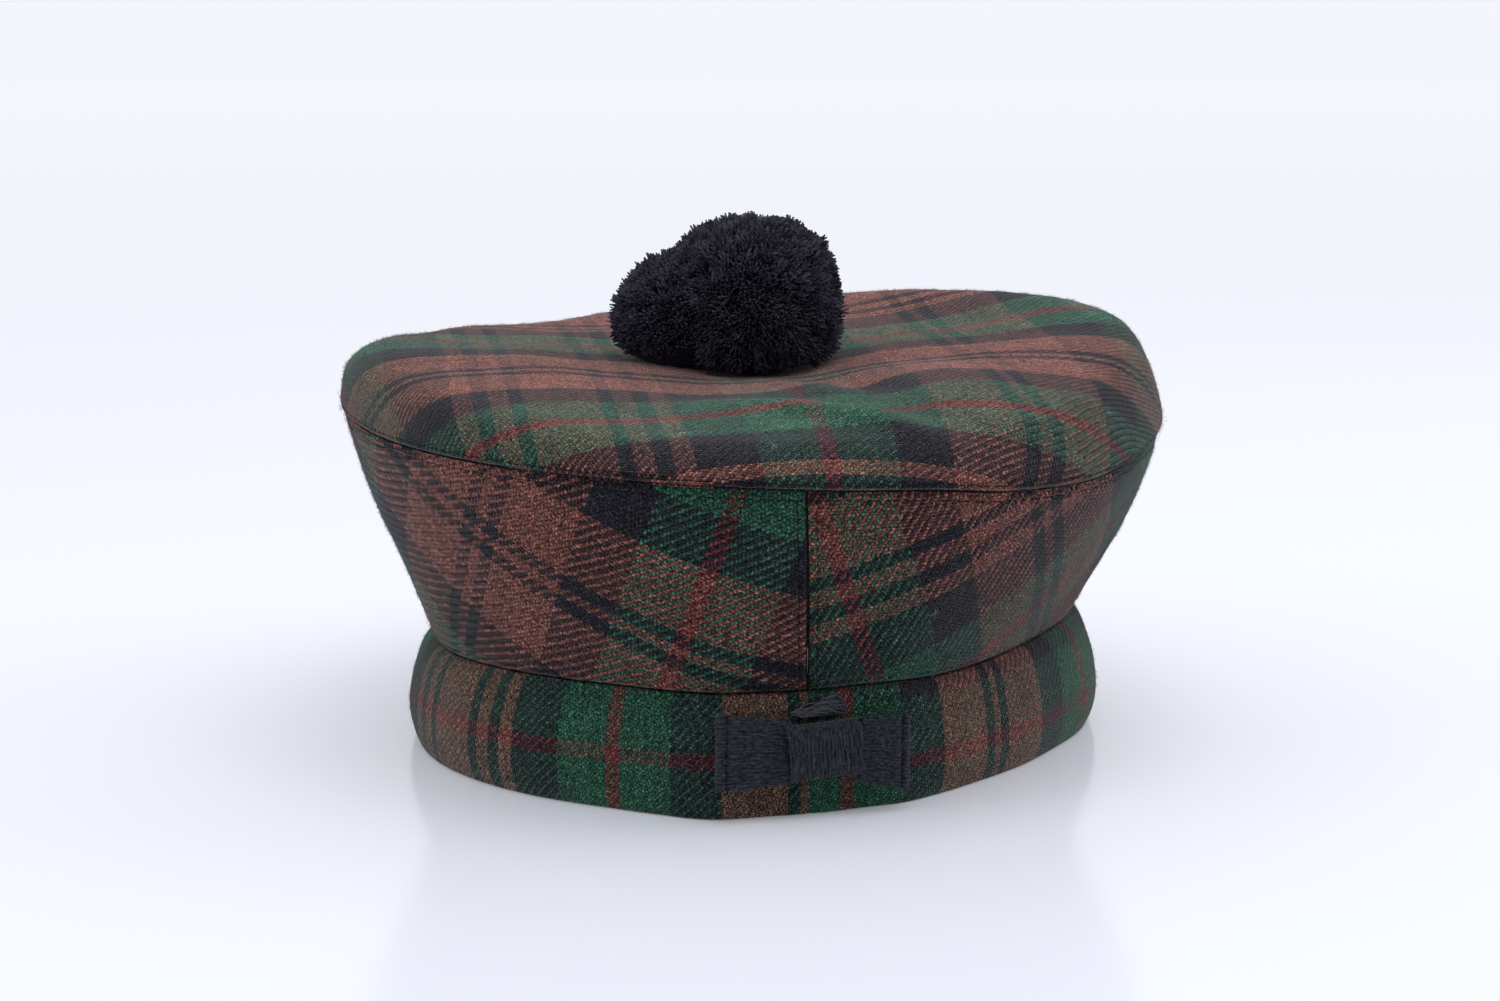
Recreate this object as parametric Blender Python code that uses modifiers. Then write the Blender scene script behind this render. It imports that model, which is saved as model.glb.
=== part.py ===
"""Balmoral bonnet of tartan cloth: folded headband, two side panels, puffed crown, pompom and ribbon bow.

Metres, +Z up. The hat rests on its headband on z = 0, with the bow at the centre back towards -Y.
Azimuths are in degrees round the hat's axis: 0 at the bow, 90 towards +X.
"""

import math
from collections import namedtuple

import bmesh
import bpy
from mathutils import Vector

# Headband
BAND_RADIUS = 0.098
BAND_HEIGHT = 0.033
BAND_WALL = 0.003
BAND_SWELL = 0.0028
BAND_TUCK = 0.004

# Side panels
SEAM_RADIUS = 0.1191
SEAM_TWIST = -2.2
PANEL_RISE = 0.060
PANEL_WALL = 0.002
PANEL_BELLY = 0.002

# Crown
CROWN_WALL = 0.002
RIM_OVERHANG = 0.0012
ROLL_RISE = 0.020
ROLL_DEPTH = 0.020
DISH_LIFT = 0.0130
FOLD_HEIGHT = 0.003

# Pompom
POMPOM_RADIUS = 0.0271
POMPOM_LIFT = 0.0187
LOBE_RADIUS = 0.0220
LOBE_OFFSET = 0.0195
LOBE_DROP = 0.0045
LOBE_AZIMUTH = -99
LOBE_BLEND = 8
LOCK_LENGTH = 0.0026
LOCK_INSET = 0.0011

# Ribbon bow
RIBBON_WALL = 0.001
RIBBON_WIDTH = 0.0195
LOOP_FULLNESS = 0.0036
PINCHED_FULLNESS = 0.0024
LOOP_PINCH_SHARE = 0.3
BOW_SPAN = 0.054
BOW_HEIGHT = 0.019
KNOT_WIDTH = 0.0187
KNOT_HEIGHT = 0.0155
KNOT_OFFSET = 0.003
KNOT_WAIST_SHARE = 0.05
KNOT_SQUARENESS = 0.45
TAIL_WIDTH = 0.0135
TAIL_WALL = 0.0012

# Clearance between sewn pieces
SEAM_GAP = 0.0004

# Faceting
RING_STEPS = 72
PANEL_STEPS = 4
CROWN_STEPS = 12
LOOP_STEPS = 6
FOLD_STEPS = 5

FRONT_AZIMUTH = 180

# Lengths in these tables are shares of the named sizes above.
BandRow = namedtuple("BandRow", "azimuth foot tuck rise swell")
BAND_ROWS = (
    BandRow(-150, 0.980, 0.90, 0.97, 1.0),
    BandRow(-120, 1.003, 1.15, 0.94, 1.0),
    BandRow(-90, 1.012, 1.20, 0.93, 0.9),
    BandRow(-70, 1.028, 1.00, 0.95, 0.9),
    BandRow(-50, 1.024, 1.00, 0.98, 0.9),
    BandRow(-33, 1.018, 0.75, 1.00, 0.8),
    BandRow(-24, 1.036, 0.85, 1.00, 0.6),
    BandRow(-15, 1.064, 1.20, 1.00, 0.4),
    BandRow(-6, 1.030, 0.80, 1.00, 0.3),
    BandRow(2, 1.012, 0.75, 1.00, 0.3),
    BandRow(9, 0.994, 0.75, 1.00, 0.3),
    BandRow(16, 0.990, 0.70, 1.00, 0.4),
    BandRow(24, 0.963, 0.60, 0.98, 0.6),
    BandRow(35, 0.937, 0.60, 0.98, 0.8),
    BandRow(47, 0.937, 0.80, 1.00, 0.9),
    BandRow(60, 0.952, 0.90, 1.01, 1.0),
    BandRow(77, 1.012, 1.10, 1.05, 1.2),
    BandRow(90, 1.042, 1.40, 1.09, 1.1),
    BandRow(110, 1.030, 1.30, 1.08, 1.0),
    BandRow(135, 0.990, 1.00, 1.05, 1.0),
    BandRow(160, 0.970, 1.00, 1.02, 1.0),
    BandRow(180, 0.967, 0.95, 1.00, 1.0),
)

# The band's outer face from foot to seam: lean is 0 over the foot and 1 at the tucked waist.
BandPoint = namedtuple("BandPoint", "rise lean swell")
BAND_FACE = (
    BandPoint(0.00, 0.00, 0.00),
    BandPoint(0.10, 0.00, 0.65),
    BandPoint(0.30, 0.00, 1.00),
    BandPoint(0.55, 0.08, 0.90),
    BandPoint(0.80, 0.38, 0.50),
    BandPoint(0.94, 0.72, 0.15),
    BandPoint(1.00, 1.00, 0.00),
)

# The flat at the back where the bow sits: its ends, and the shares of the band's height that its slope follows.
FLAT_LEFT = -15
FLAT_RIGHT = 16
BOW_FOOT = 0.30
BOW_HEAD = 0.80
TAIL_HEAD = 0.97

# The crown's seam, roll and top: seam in shares of PANEL_RISE, roll and plateau of ROLL_RISE, the insets of ROLL_DEPTH.
CrownRow = namedtuple("CrownRow", "azimuth seam belly roll shoulder_in ridge_in plateau")
CROWN_ROWS = (
    CrownRow(-150, 1.067, 0.3, 0.73, 0.27, 0.86, 0.92),
    CrownRow(-120, 1.083, 0.5, 0.76, 0.18, 0.78, 0.98),
    CrownRow(-90, 1.072, 0.6, 0.91, 0.11, 0.72, 1.02),
    CrownRow(-60, 1.033, 0.4, 0.79, 0.25, 0.84, 0.94),
    CrownRow(-30, 1.000, 0.2, 0.57, 0.38, 0.88, 0.73),
    CrownRow(0, 0.960, 0.3, 0.64, 0.40, 0.88, 0.74),
    CrownRow(14, 0.937, 0.4, 0.75, 0.39, 0.88, 0.80),
    CrownRow(25, 0.900, 0.4, 0.89, 0.38, 0.88, 0.88),
    CrownRow(42, 0.886, 0.5, 1.00, 0.38, 0.88, 0.97),
    CrownRow(60, 0.945, 1.0, 1.08, 0.33, 0.88, 1.04),
    CrownRow(75, 0.972, 1.3, 1.28, 0.22, 0.80, 1.09),
    CrownRow(90, 0.998, 1.4, 1.42, 0.13, 0.72, 1.12),
    CrownRow(120, 1.025, 1.0, 1.40, 0.17, 0.76, 1.10),
    CrownRow(150, 1.042, 0.5, 1.18, 0.20, 0.80, 1.02),
    CrownRow(180, 1.055, 0.4, 0.96, 0.25, 0.86, 0.94),
)
FLANK_UP = 0.20
SHOULDER_UP = 0.74
PLATEAU_REACH = 0.62
HOLLOW_REACH = 0.34
HOLLOW_SHARE = 0.60

# Soft folds of the crown: height is a share of FOLD_HEIGHT, the others are shares of SEAM_RADIUS.
FoldRow = namedtuple("FoldRow", "azimuth reach height along across")
FOLD_ROWS = (
    FoldRow(8, 0.80, 0.3, 0.06, 0.16),
    FoldRow(24, 0.50, 0.2, 0.18, 0.14),
    FoldRow(-34, 0.60, -0.2, 0.20, 0.14),
)


def ring_value(rows, column, azimuth):
    """A table's column at any azimuth, smooth and closed round the hat."""
    count = len(rows)
    stations = [row.azimuth for row in rows]
    turned = (azimuth - stations[0]) % 360 + stations[0]
    low = max(i for i in range(count) if stations[i] <= turned)
    places = []
    values = []
    for i in range(low - 1, low + 3):
        places.append(stations[i % count] + 360 * (i // count))
        values.append(getattr(rows[i % count], column))
    start_slope = (values[2] - values[0]) / (places[2] - places[0])
    end_slope = (values[3] - values[1]) / (places[3] - places[1])
    span = places[2] - places[1]
    t = (turned - places[1]) / span
    return (
        values[1] * (2 * t**3 - 3 * t**2 + 1)
        + start_slope * span * (t**3 - 2 * t**2 + t)
        + values[2] * (3 * t**2 - 2 * t**3)
        + end_slope * span * (t**3 - t**2)
    )


def curve_point(points, place):
    """The point at a share of the way along a smooth curve through the given points."""
    spans = len(points) - 1
    low = min(int(place * spans), spans - 1)
    t = place * spans - low
    a, b = points[low], points[low + 1]
    before = points[low - 1] if low > 0 else a * 2 - b
    after = points[low + 2] if low + 2 <= spans else b * 2 - a
    return (
        a * (2 * t**3 - 3 * t**2 + 1)
        + (b - before) / 2 * (t**3 - 2 * t**2 + t)
        + b * (3 * t**2 - 2 * t**3)
        + (after - a) / 2 * (t**3 - t**2)
    )


def outward(azimuth):
    angle = math.radians(azimuth)
    return Vector((math.sin(angle), -math.cos(angle), 0))


def placed(azimuth, section_point):
    """A (radius, height) section point turned to its azimuth."""
    radius, height = section_point
    return outward(azimuth) * radius + Vector((0, 0, height))


def foot_radius(azimuth):
    return BAND_RADIUS * ring_value(BAND_ROWS, "foot", azimuth)


def waist(azimuth):
    """The seam between the headband and the side panels."""
    radius = foot_radius(azimuth) - BAND_TUCK * ring_value(BAND_ROWS, "tuck", azimuth)
    return Vector((radius, BAND_HEIGHT * ring_value(BAND_ROWS, "rise", azimuth)))


def crown_seam(azimuth):
    """The seam between the side panels and the crown."""
    height = BAND_HEIGHT + PANEL_RISE * ring_value(CROWN_ROWS, "seam", azimuth)
    return Vector((SEAM_RADIUS, height))


def band_point(azimuth, row, depth=0.0):
    """A point of the headband's section, depth being how far it lies inside the outer face."""
    top = waist(azimuth)
    foot = foot_radius(azimuth)
    swell = BAND_SWELL * row.swell * ring_value(BAND_ROWS, "swell", azimuth)
    radius = foot + (top.x - foot) * row.lean + swell - depth
    return Vector((radius, (top.y - SEAM_GAP / 2) * row.rise))


def band_section(azimuth):
    """The strip's closed section: up its outer face and down its inner one."""
    outer = [band_point(azimuth, row) for row in BAND_FACE]
    inner = [band_point(azimuth, row, BAND_WALL) for row in reversed(BAND_FACE)]
    return outer + inner + outer[:1]


def panel_section(azimuth):
    """The side panel's outer face from the waist up to the crown seam, with a slight belly."""
    low = waist(azimuth) + Vector((0, SEAM_GAP / 2))
    high = crown_seam(azimuth) - Vector((0, SEAM_GAP / 2))
    out = Vector((high.y - low.y, low.x - high.x)).normalized()
    belly = out * PANEL_BELLY * ring_value(CROWN_ROWS, "belly", azimuth)
    shares = [i / PANEL_STEPS for i in range(PANEL_STEPS + 1)]
    return [low.lerp(high, share) + belly * math.sin(math.pi * share**1.5) for share in shares]


def crown_centre():
    return BAND_HEIGHT + PANEL_RISE + DISH_LIFT


def crown_section(azimuth):
    """The crown's outer face from its seam over the roll and down into the dish."""
    seam = crown_seam(azimuth) + Vector((0, SEAM_GAP / 2))
    roll = ROLL_RISE * ring_value(CROWN_ROWS, "roll", azimuth)
    shoulder_in = ROLL_DEPTH * ring_value(CROWN_ROWS, "shoulder_in", azimuth)
    ridge_in = ROLL_DEPTH * ring_value(CROWN_ROWS, "ridge_in", azimuth)
    flank = seam + Vector((RIM_OVERHANG, roll * FLANK_UP))
    shoulder = seam + Vector((-shoulder_in, roll * SHOULDER_UP))
    ridge = seam + Vector((-ridge_in, roll))
    top = BAND_HEIGHT + PANEL_RISE + ROLL_RISE * ring_value(CROWN_ROWS, "plateau", azimuth)
    plateau = Vector((SEAM_RADIUS * PLATEAU_REACH, top))
    centre = Vector((0, crown_centre()))
    hollow_rise = (plateau.y - centre.y) * HOLLOW_SHARE
    hollow = Vector((SEAM_RADIUS * HOLLOW_REACH, centre.y + hollow_rise))
    points = [seam, flank, shoulder, ridge, plateau, hollow, centre]
    return [curve_point(points, i / CROWN_STEPS) for i in range(CROWN_STEPS + 1)]


def fold_lift(place):
    """How far the crown's soft folds raise or lower it at a place seen from above."""
    lift = 0.0
    for row in FOLD_ROWS:
        away = outward(row.azimuth)
        offset = Vector((place.x, place.y, 0)) - away * SEAM_RADIUS * row.reach
        along = offset.dot(away) / (SEAM_RADIUS * row.along)
        across = offset.cross(away).length / (SEAM_RADIUS * row.across)
        lift += FOLD_HEIGHT * row.height * math.exp(-(along**2) - across**2)
    return lift


def make_object(name, mesh_builder, parent, collection, material):
    mesh = bpy.data.meshes.new(name)
    mesh_builder.to_mesh(mesh)
    mesh_builder.free()
    mesh.shade_smooth()
    mesh.materials.append(material)
    piece = bpy.data.objects.new(name, mesh)
    piece.parent = parent
    collection.objects.link(piece)
    return piece


def cloth_grid(columns, rows, point_at):
    """A grid of cloth whose corners (across, up), as shares from 0 to 1, are laid where point_at says."""
    sheet = bmesh.new()
    bmesh.ops.create_grid(sheet, x_segments=columns, y_segments=rows, size=1)
    for vertex in sheet.verts:
        vertex.co = point_at((vertex.co.x + 1) / 2, (vertex.co.y + 1) / 2)
    bmesh.ops.remove_doubles(sheet, verts=sheet.verts, dist=1e-6)
    bmesh.ops.dissolve_degenerate(sheet, edges=sheet.edges, dist=1e-6)
    return sheet


def thicken(piece, wall):
    solidify = piece.modifiers.new("Wall", "SOLIDIFY")
    solidify.thickness = wall
    solidify.offset = -1
    solidify.use_even_offset = True


def cloth_material(name, colour, roughness):
    material = bpy.data.materials.new(name)
    material.use_nodes = True
    shader = material.node_tree.nodes["Principled BSDF"]
    shader.inputs["Base Color"].default_value = (*colour, 1)
    shader.inputs["Roughness"].default_value = roughness
    shader.inputs["Metallic"].default_value = 0
    material.diffuse_color = (*colour, 1)
    return material


def section_sheet(columns, rows, first_azimuth, last_azimuth, section, twist=0.0):
    """Cloth laid round the hat between two azimuths, following a section's points upwards."""

    def point_at(across, up):
        azimuth = first_azimuth + (last_azimuth - first_azimuth) * across + twist * up
        return placed(azimuth, section(azimuth)[round(up * rows)])

    return cloth_grid(columns, rows, point_at)


def headband(parent, collection):
    rows = 2 * len(BAND_FACE)
    ring = section_sheet(RING_STEPS, rows, -180, 180, band_section)
    cloth = cloth_material("headband_tartan", (0.045, 0.075, 0.050), 0.95)
    return make_object("headband", ring, parent, collection, cloth)


def side_panel(name, first_azimuth, last_azimuth, parent, collection):
    """One of the two panels; its ends stop short of the seams so that the two don't touch."""
    gap = math.degrees(SEAM_GAP / 2 / BAND_RADIUS)
    panel = section_sheet(
        RING_STEPS // 2,
        PANEL_STEPS,
        first_azimuth + gap,
        last_azimuth - gap,
        panel_section,
        twist=SEAM_TWIST,
    )
    cloth = cloth_material(name + "_tartan", (0.110, 0.050, 0.035), 0.95)
    piece = make_object(name, panel, parent, collection, cloth)
    thicken(piece, PANEL_WALL)
    return piece


def crown_top(parent, collection):
    disc = section_sheet(RING_STEPS, CROWN_STEPS, -180, 180, crown_section)
    for vertex in disc.verts:
        vertex.co.z += fold_lift(vertex.co)
    cloth = cloth_material("crown_tartan", (0.060, 0.080, 0.050), 0.95)
    piece = make_object("crown_top", disc, parent, collection, cloth)
    thicken(piece, CROWN_WALL)
    return piece


def dish_height(place):
    """The crown's upper surface over a place in the dish."""
    azimuth = math.degrees(math.atan2(place.x, -place.y))
    reach = math.hypot(place.x, place.y)
    section = crown_section(azimuth)
    height = section[-1].y
    for outer, inner in zip(section, section[1:]):
        if inner.x <= reach <= outer.x:
            share = (reach - inner.x) / max(outer.x - inner.x, 1e-9)
            height = inner.y + (outer.y - inner.y) * share
    return height + fold_lift(place)


def sphere_reach(direction, centre, radius):
    """How far a ray from the origin goes before it leaves a ball."""
    along = direction.dot(centre)
    inside = along**2 - centre.length_squared + radius**2
    return along + math.sqrt(inside) if inside > 0 else 0.0


def pompom(parent, collection):
    """A two-lobed ball of yarn: each face of the head is drawn out into a lock, and it sits in the dish."""
    side = outward(LOBE_AZIMUTH)
    head = Vector((0, 0, crown_centre() + POMPOM_LIFT))
    lobe = side * LOBE_OFFSET - Vector((0, 0, LOBE_DROP))
    middle = lobe * 0.45
    ball = bmesh.new()
    bmesh.ops.create_icosphere(ball, subdivisions=3, radius=1)
    for vertex in ball.verts:
        direction = vertex.co.normalized()
        main = sphere_reach(direction, -middle, POMPOM_RADIUS - LOCK_LENGTH)
        second = sphere_reach(direction, lobe - middle, LOBE_RADIUS - LOCK_LENGTH)
        reach = (main**LOBE_BLEND + second**LOBE_BLEND) ** (1 / LOBE_BLEND)
        vertex.co = head + middle + direction * reach
    bmesh.ops.inset_individual(ball, faces=ball.faces, thickness=LOCK_INSET, depth=LOCK_LENGTH)
    for vertex in ball.verts:
        seat = dish_height(vertex.co) + SEAM_GAP
        vertex.co.z = max(vertex.co.z, seat)
    wool = cloth_material("pompom_wool", (0.010, 0.010, 0.012), 1.0)
    return make_object("pompom", ball, parent, collection, wool)


def flat_point(azimuth, rise):
    """A point of the band's outer face, rise being its share of the way up the strip."""
    places = [row.rise for row in BAND_FACE]
    high = next(i for i in range(1, len(places)) if rise <= places[i])
    share = (rise - places[high - 1]) / (places[high] - places[high - 1])
    low_point = band_point(azimuth, BAND_FACE[high - 1])
    high_point = band_point(azimuth, BAND_FACE[high])
    return placed(azimuth, low_point.lerp(high_point, share))


def bow_frame():
    """The bow's place on the band's flat: its middle, its way to the right, its way up and its way out."""
    right = (flat_point(FLAT_RIGHT, 0) - flat_point(FLAT_LEFT, 0)).normalized()
    low = (flat_point(FLAT_LEFT, BOW_FOOT) + flat_point(FLAT_RIGHT, BOW_FOOT)) / 2
    high = (flat_point(FLAT_LEFT, BOW_HEAD) + flat_point(FLAT_RIGHT, BOW_HEAD)) / 2
    out = right.cross(high - low).normalized()
    up = out.cross(right)
    middle = low + up * ((BOW_HEIGHT - low.z) / up.z)
    reach = RIBBON_WIDTH * 0.6
    stands = [0.0]
    for azimuth in range(FLAT_LEFT, FLAT_RIGHT + 1):
        for step in range(41):
            offset = flat_point(azimuth, step / 40) - middle
            if abs(offset.dot(up)) < reach:
                stands.append(offset.dot(out))
    return middle + out * (max(stands) + SEAM_GAP), right, up, out


def ribbon_piece(name, sheet, wall, parent, collection):
    ribbon = cloth_material(name + "_ribbon", (0.012, 0.013, 0.018), 0.85)
    piece = make_object(name, sheet, parent, collection, ribbon)
    thicken(piece, wall)
    return piece


def knot_depth():
    """From the middle of the ribbon layers under the knot to the knot's outer face."""
    return PINCHED_FULLNESS / 2 + SEAM_GAP + RIBBON_WALL


def loop_path(start, knot_edge, end):
    """A flat loop seen from above: out from under the knot, round its fold and back again.

    Each step is its way along the band, its way out and how far the ribbon has opened, from 0 to 1.
    """
    turn = LOOP_FULLNESS / 2
    steps = [(start, 0.0)]
    for step in range(LOOP_STEPS + 1):
        share = step / LOOP_STEPS
        opened = math.sin(min(1, share / LOOP_PINCH_SHARE) * math.pi / 2)
        steps.append((knot_edge + (end - turn - knot_edge) * share, opened))
    back = []
    front = []
    for reach, opened in steps:
        middle = knot_depth() + (turn - knot_depth()) * opened
        spread = PINCHED_FULLNESS / 2 + (turn - PINCHED_FULLNESS / 2) * opened
        back.append((reach, middle - spread, opened))
        front.append((reach, middle + spread, opened))
    fold = []
    for step in range(1, FOLD_STEPS):
        angle = math.pi * step / FOLD_STEPS
        fold.append((end - turn + turn * math.sin(angle), turn - turn * math.cos(angle), 1.0))
    return back + fold + front[::-1]


def bow_loop(name, side, parent, collection):
    """A flat loop of ribbon, out along the band, round its fold and back under the knot."""
    middle, right, up, out = bow_frame()
    knot_edge = KNOT_OFFSET * side + KNOT_WIDTH / 2
    path = loop_path(KNOT_OFFSET * side + SEAM_GAP / 2, knot_edge, BOW_SPAN / 2)
    pinched = KNOT_HEIGHT / 2 - RIBBON_WALL - 2 * SEAM_GAP

    def point_at(across, upward):
        reach, depth, opened = path[round(across * (len(path) - 1))]
        half = pinched + (RIBBON_WIDTH / 2 - pinched) * opened
        height = up * half * (2 * upward - 1)
        return middle + right * side * reach + height + out * depth

    sheet = cloth_grid(len(path) - 1, 2, point_at)
    if side > 0:
        bmesh.ops.reverse_faces(sheet, faces=sheet.faces)
    return ribbon_piece(name, sheet, RIBBON_WALL, parent, collection)


def bow_knot(parent, collection):
    """The ribbon wound round the bow's middle, a flattened tube with both loops inside it."""
    middle, right, up, out = bow_frame()
    depth = knot_depth()
    centre = middle + right * KNOT_OFFSET + out * depth
    ring = 20

    def point_at(across, around):
        angle = 2 * math.pi * round(around * ring) / ring
        bulge = 1 + KNOT_WAIST_SHARE * (2 * across - 1) ** 2
        high = math.copysign(abs(math.sin(angle)) ** KNOT_SQUARENESS, math.sin(angle))
        deep = math.copysign(abs(math.cos(angle)) ** KNOT_SQUARENESS, math.cos(angle))
        return (
            centre
            + right * KNOT_WIDTH * (across - 0.5)
            + up * high * KNOT_HEIGHT / 2 * bulge
            + out * deep * depth
        )

    return ribbon_piece("bow_knot", cloth_grid(4, ring, point_at), RIBBON_WALL, parent, collection)


def bow_tail(parent, collection):
    """The short ribbon end that lies on the band between the knot and the top seam."""
    middle, right, _, _ = bow_frame()
    knot = middle + right * KNOT_OFFSET
    knot_azimuth = math.degrees(math.atan2(knot.x, -knot.y))
    half = math.degrees(TAIL_WIDTH / 2 / BAND_RADIUS)

    knot_top = BOW_HEIGHT + KNOT_HEIGHT / 2 * (1 + KNOT_WAIST_SHARE) + 2 * SEAM_GAP

    def point_at(across, upward):
        azimuth = knot_azimuth + half * (2 * across - 1)
        foot_share = knot_top / waist(azimuth).y
        foot = flat_point(azimuth, foot_share)
        head = flat_point(azimuth, TAIL_HEAD)
        rise = foot_share + (TAIL_HEAD - foot_share) * upward
        normal = right.cross(head - foot).normalized()
        return flat_point(azimuth, rise) + normal * (SEAM_GAP + TAIL_WALL)

    return ribbon_piece("bow_tail", cloth_grid(3, 3, point_at), TAIL_WALL, parent, collection)


def stand_on_floor(hat, pieces):
    """Puts the hat's middle over the origin, its foot staying on the floor."""
    bpy.context.view_layer.update()
    graph = bpy.context.evaluated_depsgraph_get()
    corners = []
    for piece in pieces:
        corners += [Vector(corner) for corner in piece.evaluated_get(graph).bound_box]
    hat.location = (
        -(min(c.x for c in corners) + max(c.x for c in corners)) / 2,
        -(min(c.y for c in corners) + max(c.y for c in corners)) / 2,
        0,
    )


def build():
    for old in list(bpy.data.objects):
        bpy.data.objects.remove(old, do_unlink=True)
    collection = bpy.data.collections.new("balmoral_bonnet")
    bpy.context.scene.collection.children.link(collection)
    hat = bpy.data.objects.new("hat_axis", None)
    collection.objects.link(hat)
    pieces = [
        headband(hat, collection),
        side_panel("side_panel_right", 0, FRONT_AZIMUTH, hat, collection),
        side_panel("side_panel_left", -FRONT_AZIMUTH, 0, hat, collection),
        crown_top(hat, collection),
        pompom(hat, collection),
        bow_loop("bow_loop_left", -1, hat, collection),
        bow_loop("bow_loop_right", 1, hat, collection),
        bow_knot(hat, collection),
        bow_tail(hat, collection),
    ]
    stand_on_floor(hat, pieces)


build()
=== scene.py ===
"""The balmoral bonnet's cloth, yarn and ribbon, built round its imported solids.

Metres, +Z up. Azimuths are in degrees round the hat's axis: 0 at the bow, 90 towards +X.
"""

import bisect
import functools
import math
import random
from collections import namedtuple

import bmesh
import bpy
from mathutils import Matrix, Vector, noise
from mathutils.bvhtree import BVHTree


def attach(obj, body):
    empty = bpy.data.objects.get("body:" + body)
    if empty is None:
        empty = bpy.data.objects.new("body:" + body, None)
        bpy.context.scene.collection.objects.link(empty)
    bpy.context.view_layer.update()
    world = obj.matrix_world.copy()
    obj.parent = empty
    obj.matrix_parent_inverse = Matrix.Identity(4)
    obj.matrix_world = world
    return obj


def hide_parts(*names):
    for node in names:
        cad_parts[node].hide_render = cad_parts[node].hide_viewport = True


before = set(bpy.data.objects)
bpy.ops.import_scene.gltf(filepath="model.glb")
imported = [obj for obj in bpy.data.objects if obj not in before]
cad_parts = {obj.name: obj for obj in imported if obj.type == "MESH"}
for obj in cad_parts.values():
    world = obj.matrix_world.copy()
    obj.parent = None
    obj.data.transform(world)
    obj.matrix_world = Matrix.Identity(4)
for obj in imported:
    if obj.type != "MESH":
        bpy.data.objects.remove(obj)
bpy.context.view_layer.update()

# Headband
BAND_RADIUS = 0.098
BAND_HEIGHT = 0.033
BAND_WALL = 0.003
BAND_SWELL = 0.0028
BAND_TUCK = 0.004
BAND_CLOTH = 0.0011

# The headband's fold: where along the strip it begins and ends, and how much of each face it takes up
BAND_FOLD_LOW = 0.40
BAND_FOLD_HIGH = 0.52
FOLD_SHARE = 0.085

# Side panels
SEAM_RADIUS = 0.1191
SEAM_TWIST = -2.2
PANEL_RISE = 0.060
PANEL_WALL = 0.002
PANEL_BELLY = 0.002
BELLY_LIFT = 1.5

# Crown
CROWN_WALL = 0.002
RIM_OVERHANG = 0.0008
ROLL_RISE = 0.020
ROLL_DEPTH = 0.020
DISH_LIFT = 0.0130
FOLD_HEIGHT = 0.003

# Pompom
POMPOM_RADIUS = 0.0271
POMPOM_LIFT = 0.0187
LOBE_RADIUS = 0.0220
LOBE_OFFSET = 0.0195
LOBE_DROP = 0.0045
LOBE_AZIMUTH = -99

# Ribbon bow
RIBBON_WALL = 0.001
RIBBON_WIDTH = 0.0195
LOOP_FULLNESS = 0.0036
PINCHED_FULLNESS = 0.0024
BOW_SPAN = 0.054
BOW_HEIGHT = 0.019
KNOT_WIDTH = 0.0187
KNOT_HEIGHT = 0.0155
KNOT_OFFSET = 0.003
KNOT_WAIST_SHARE = 0.05
KNOT_SQUARENESS = 0.45
TAIL_WIDTH = 0.0135
TAIL_WALL = 0.0012

# Clearance between the pieces, and where two edges are sewn together
SEAM_GAP = 0.0004
SEWN_GAP = 0.0001

# Lengths in these tables are shares of the named sizes above.
BandRow = namedtuple("BandRow", "azimuth foot tuck rise swell")
BAND_ROWS = (
    BandRow(-150, 0.980, 0.90, 0.97, 1.0),
    BandRow(-120, 1.003, 1.15, 0.94, 1.0),
    BandRow(-90, 1.012, 1.20, 0.93, 0.9),
    BandRow(-70, 1.028, 1.00, 0.95, 0.9),
    BandRow(-50, 1.024, 1.00, 0.98, 0.9),
    BandRow(-33, 1.018, 0.75, 1.00, 0.8),
    BandRow(-24, 1.036, 0.85, 1.00, 0.6),
    BandRow(-15, 1.064, 1.20, 1.00, 0.4),
    BandRow(-6, 1.030, 0.80, 1.00, 0.3),
    BandRow(2, 1.012, 0.75, 1.00, 0.3),
    BandRow(9, 0.994, 0.75, 1.00, 0.3),
    BandRow(16, 0.990, 0.70, 1.00, 0.4),
    BandRow(24, 0.963, 0.60, 0.98, 0.6),
    BandRow(35, 0.937, 0.60, 0.98, 0.8),
    BandRow(47, 0.937, 0.80, 1.00, 0.9),
    BandRow(60, 0.952, 0.90, 1.01, 1.0),
    BandRow(77, 1.012, 1.10, 1.05, 1.2),
    BandRow(90, 1.042, 1.40, 1.09, 1.1),
    BandRow(110, 1.030, 1.30, 1.08, 1.0),
    BandRow(135, 0.990, 1.00, 1.05, 1.0),
    BandRow(160, 0.970, 1.00, 1.02, 1.0),
    BandRow(180, 0.967, 0.95, 1.00, 1.0),
)

# The band's outer face from foot to seam: lean is 0 over the foot and 1 at the tucked waist.
BandPoint = namedtuple("BandPoint", "rise lean swell")
BAND_FACE = (
    BandPoint(0.00, 0.00, 0.00),
    BandPoint(0.10, 0.00, 0.65),
    BandPoint(0.30, 0.00, 1.00),
    BandPoint(0.55, 0.08, 0.90),
    BandPoint(0.80, 0.38, 0.50),
    BandPoint(0.94, 0.72, 0.15),
    BandPoint(1.00, 1.00, 0.00),
)

# The flat at the back where the bow sits.
FLAT_LEFT = -15
FLAT_RIGHT = 16
BOW_FOOT = 0.30
BOW_HEAD = 0.80
TAIL_HEAD = 0.97

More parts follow.
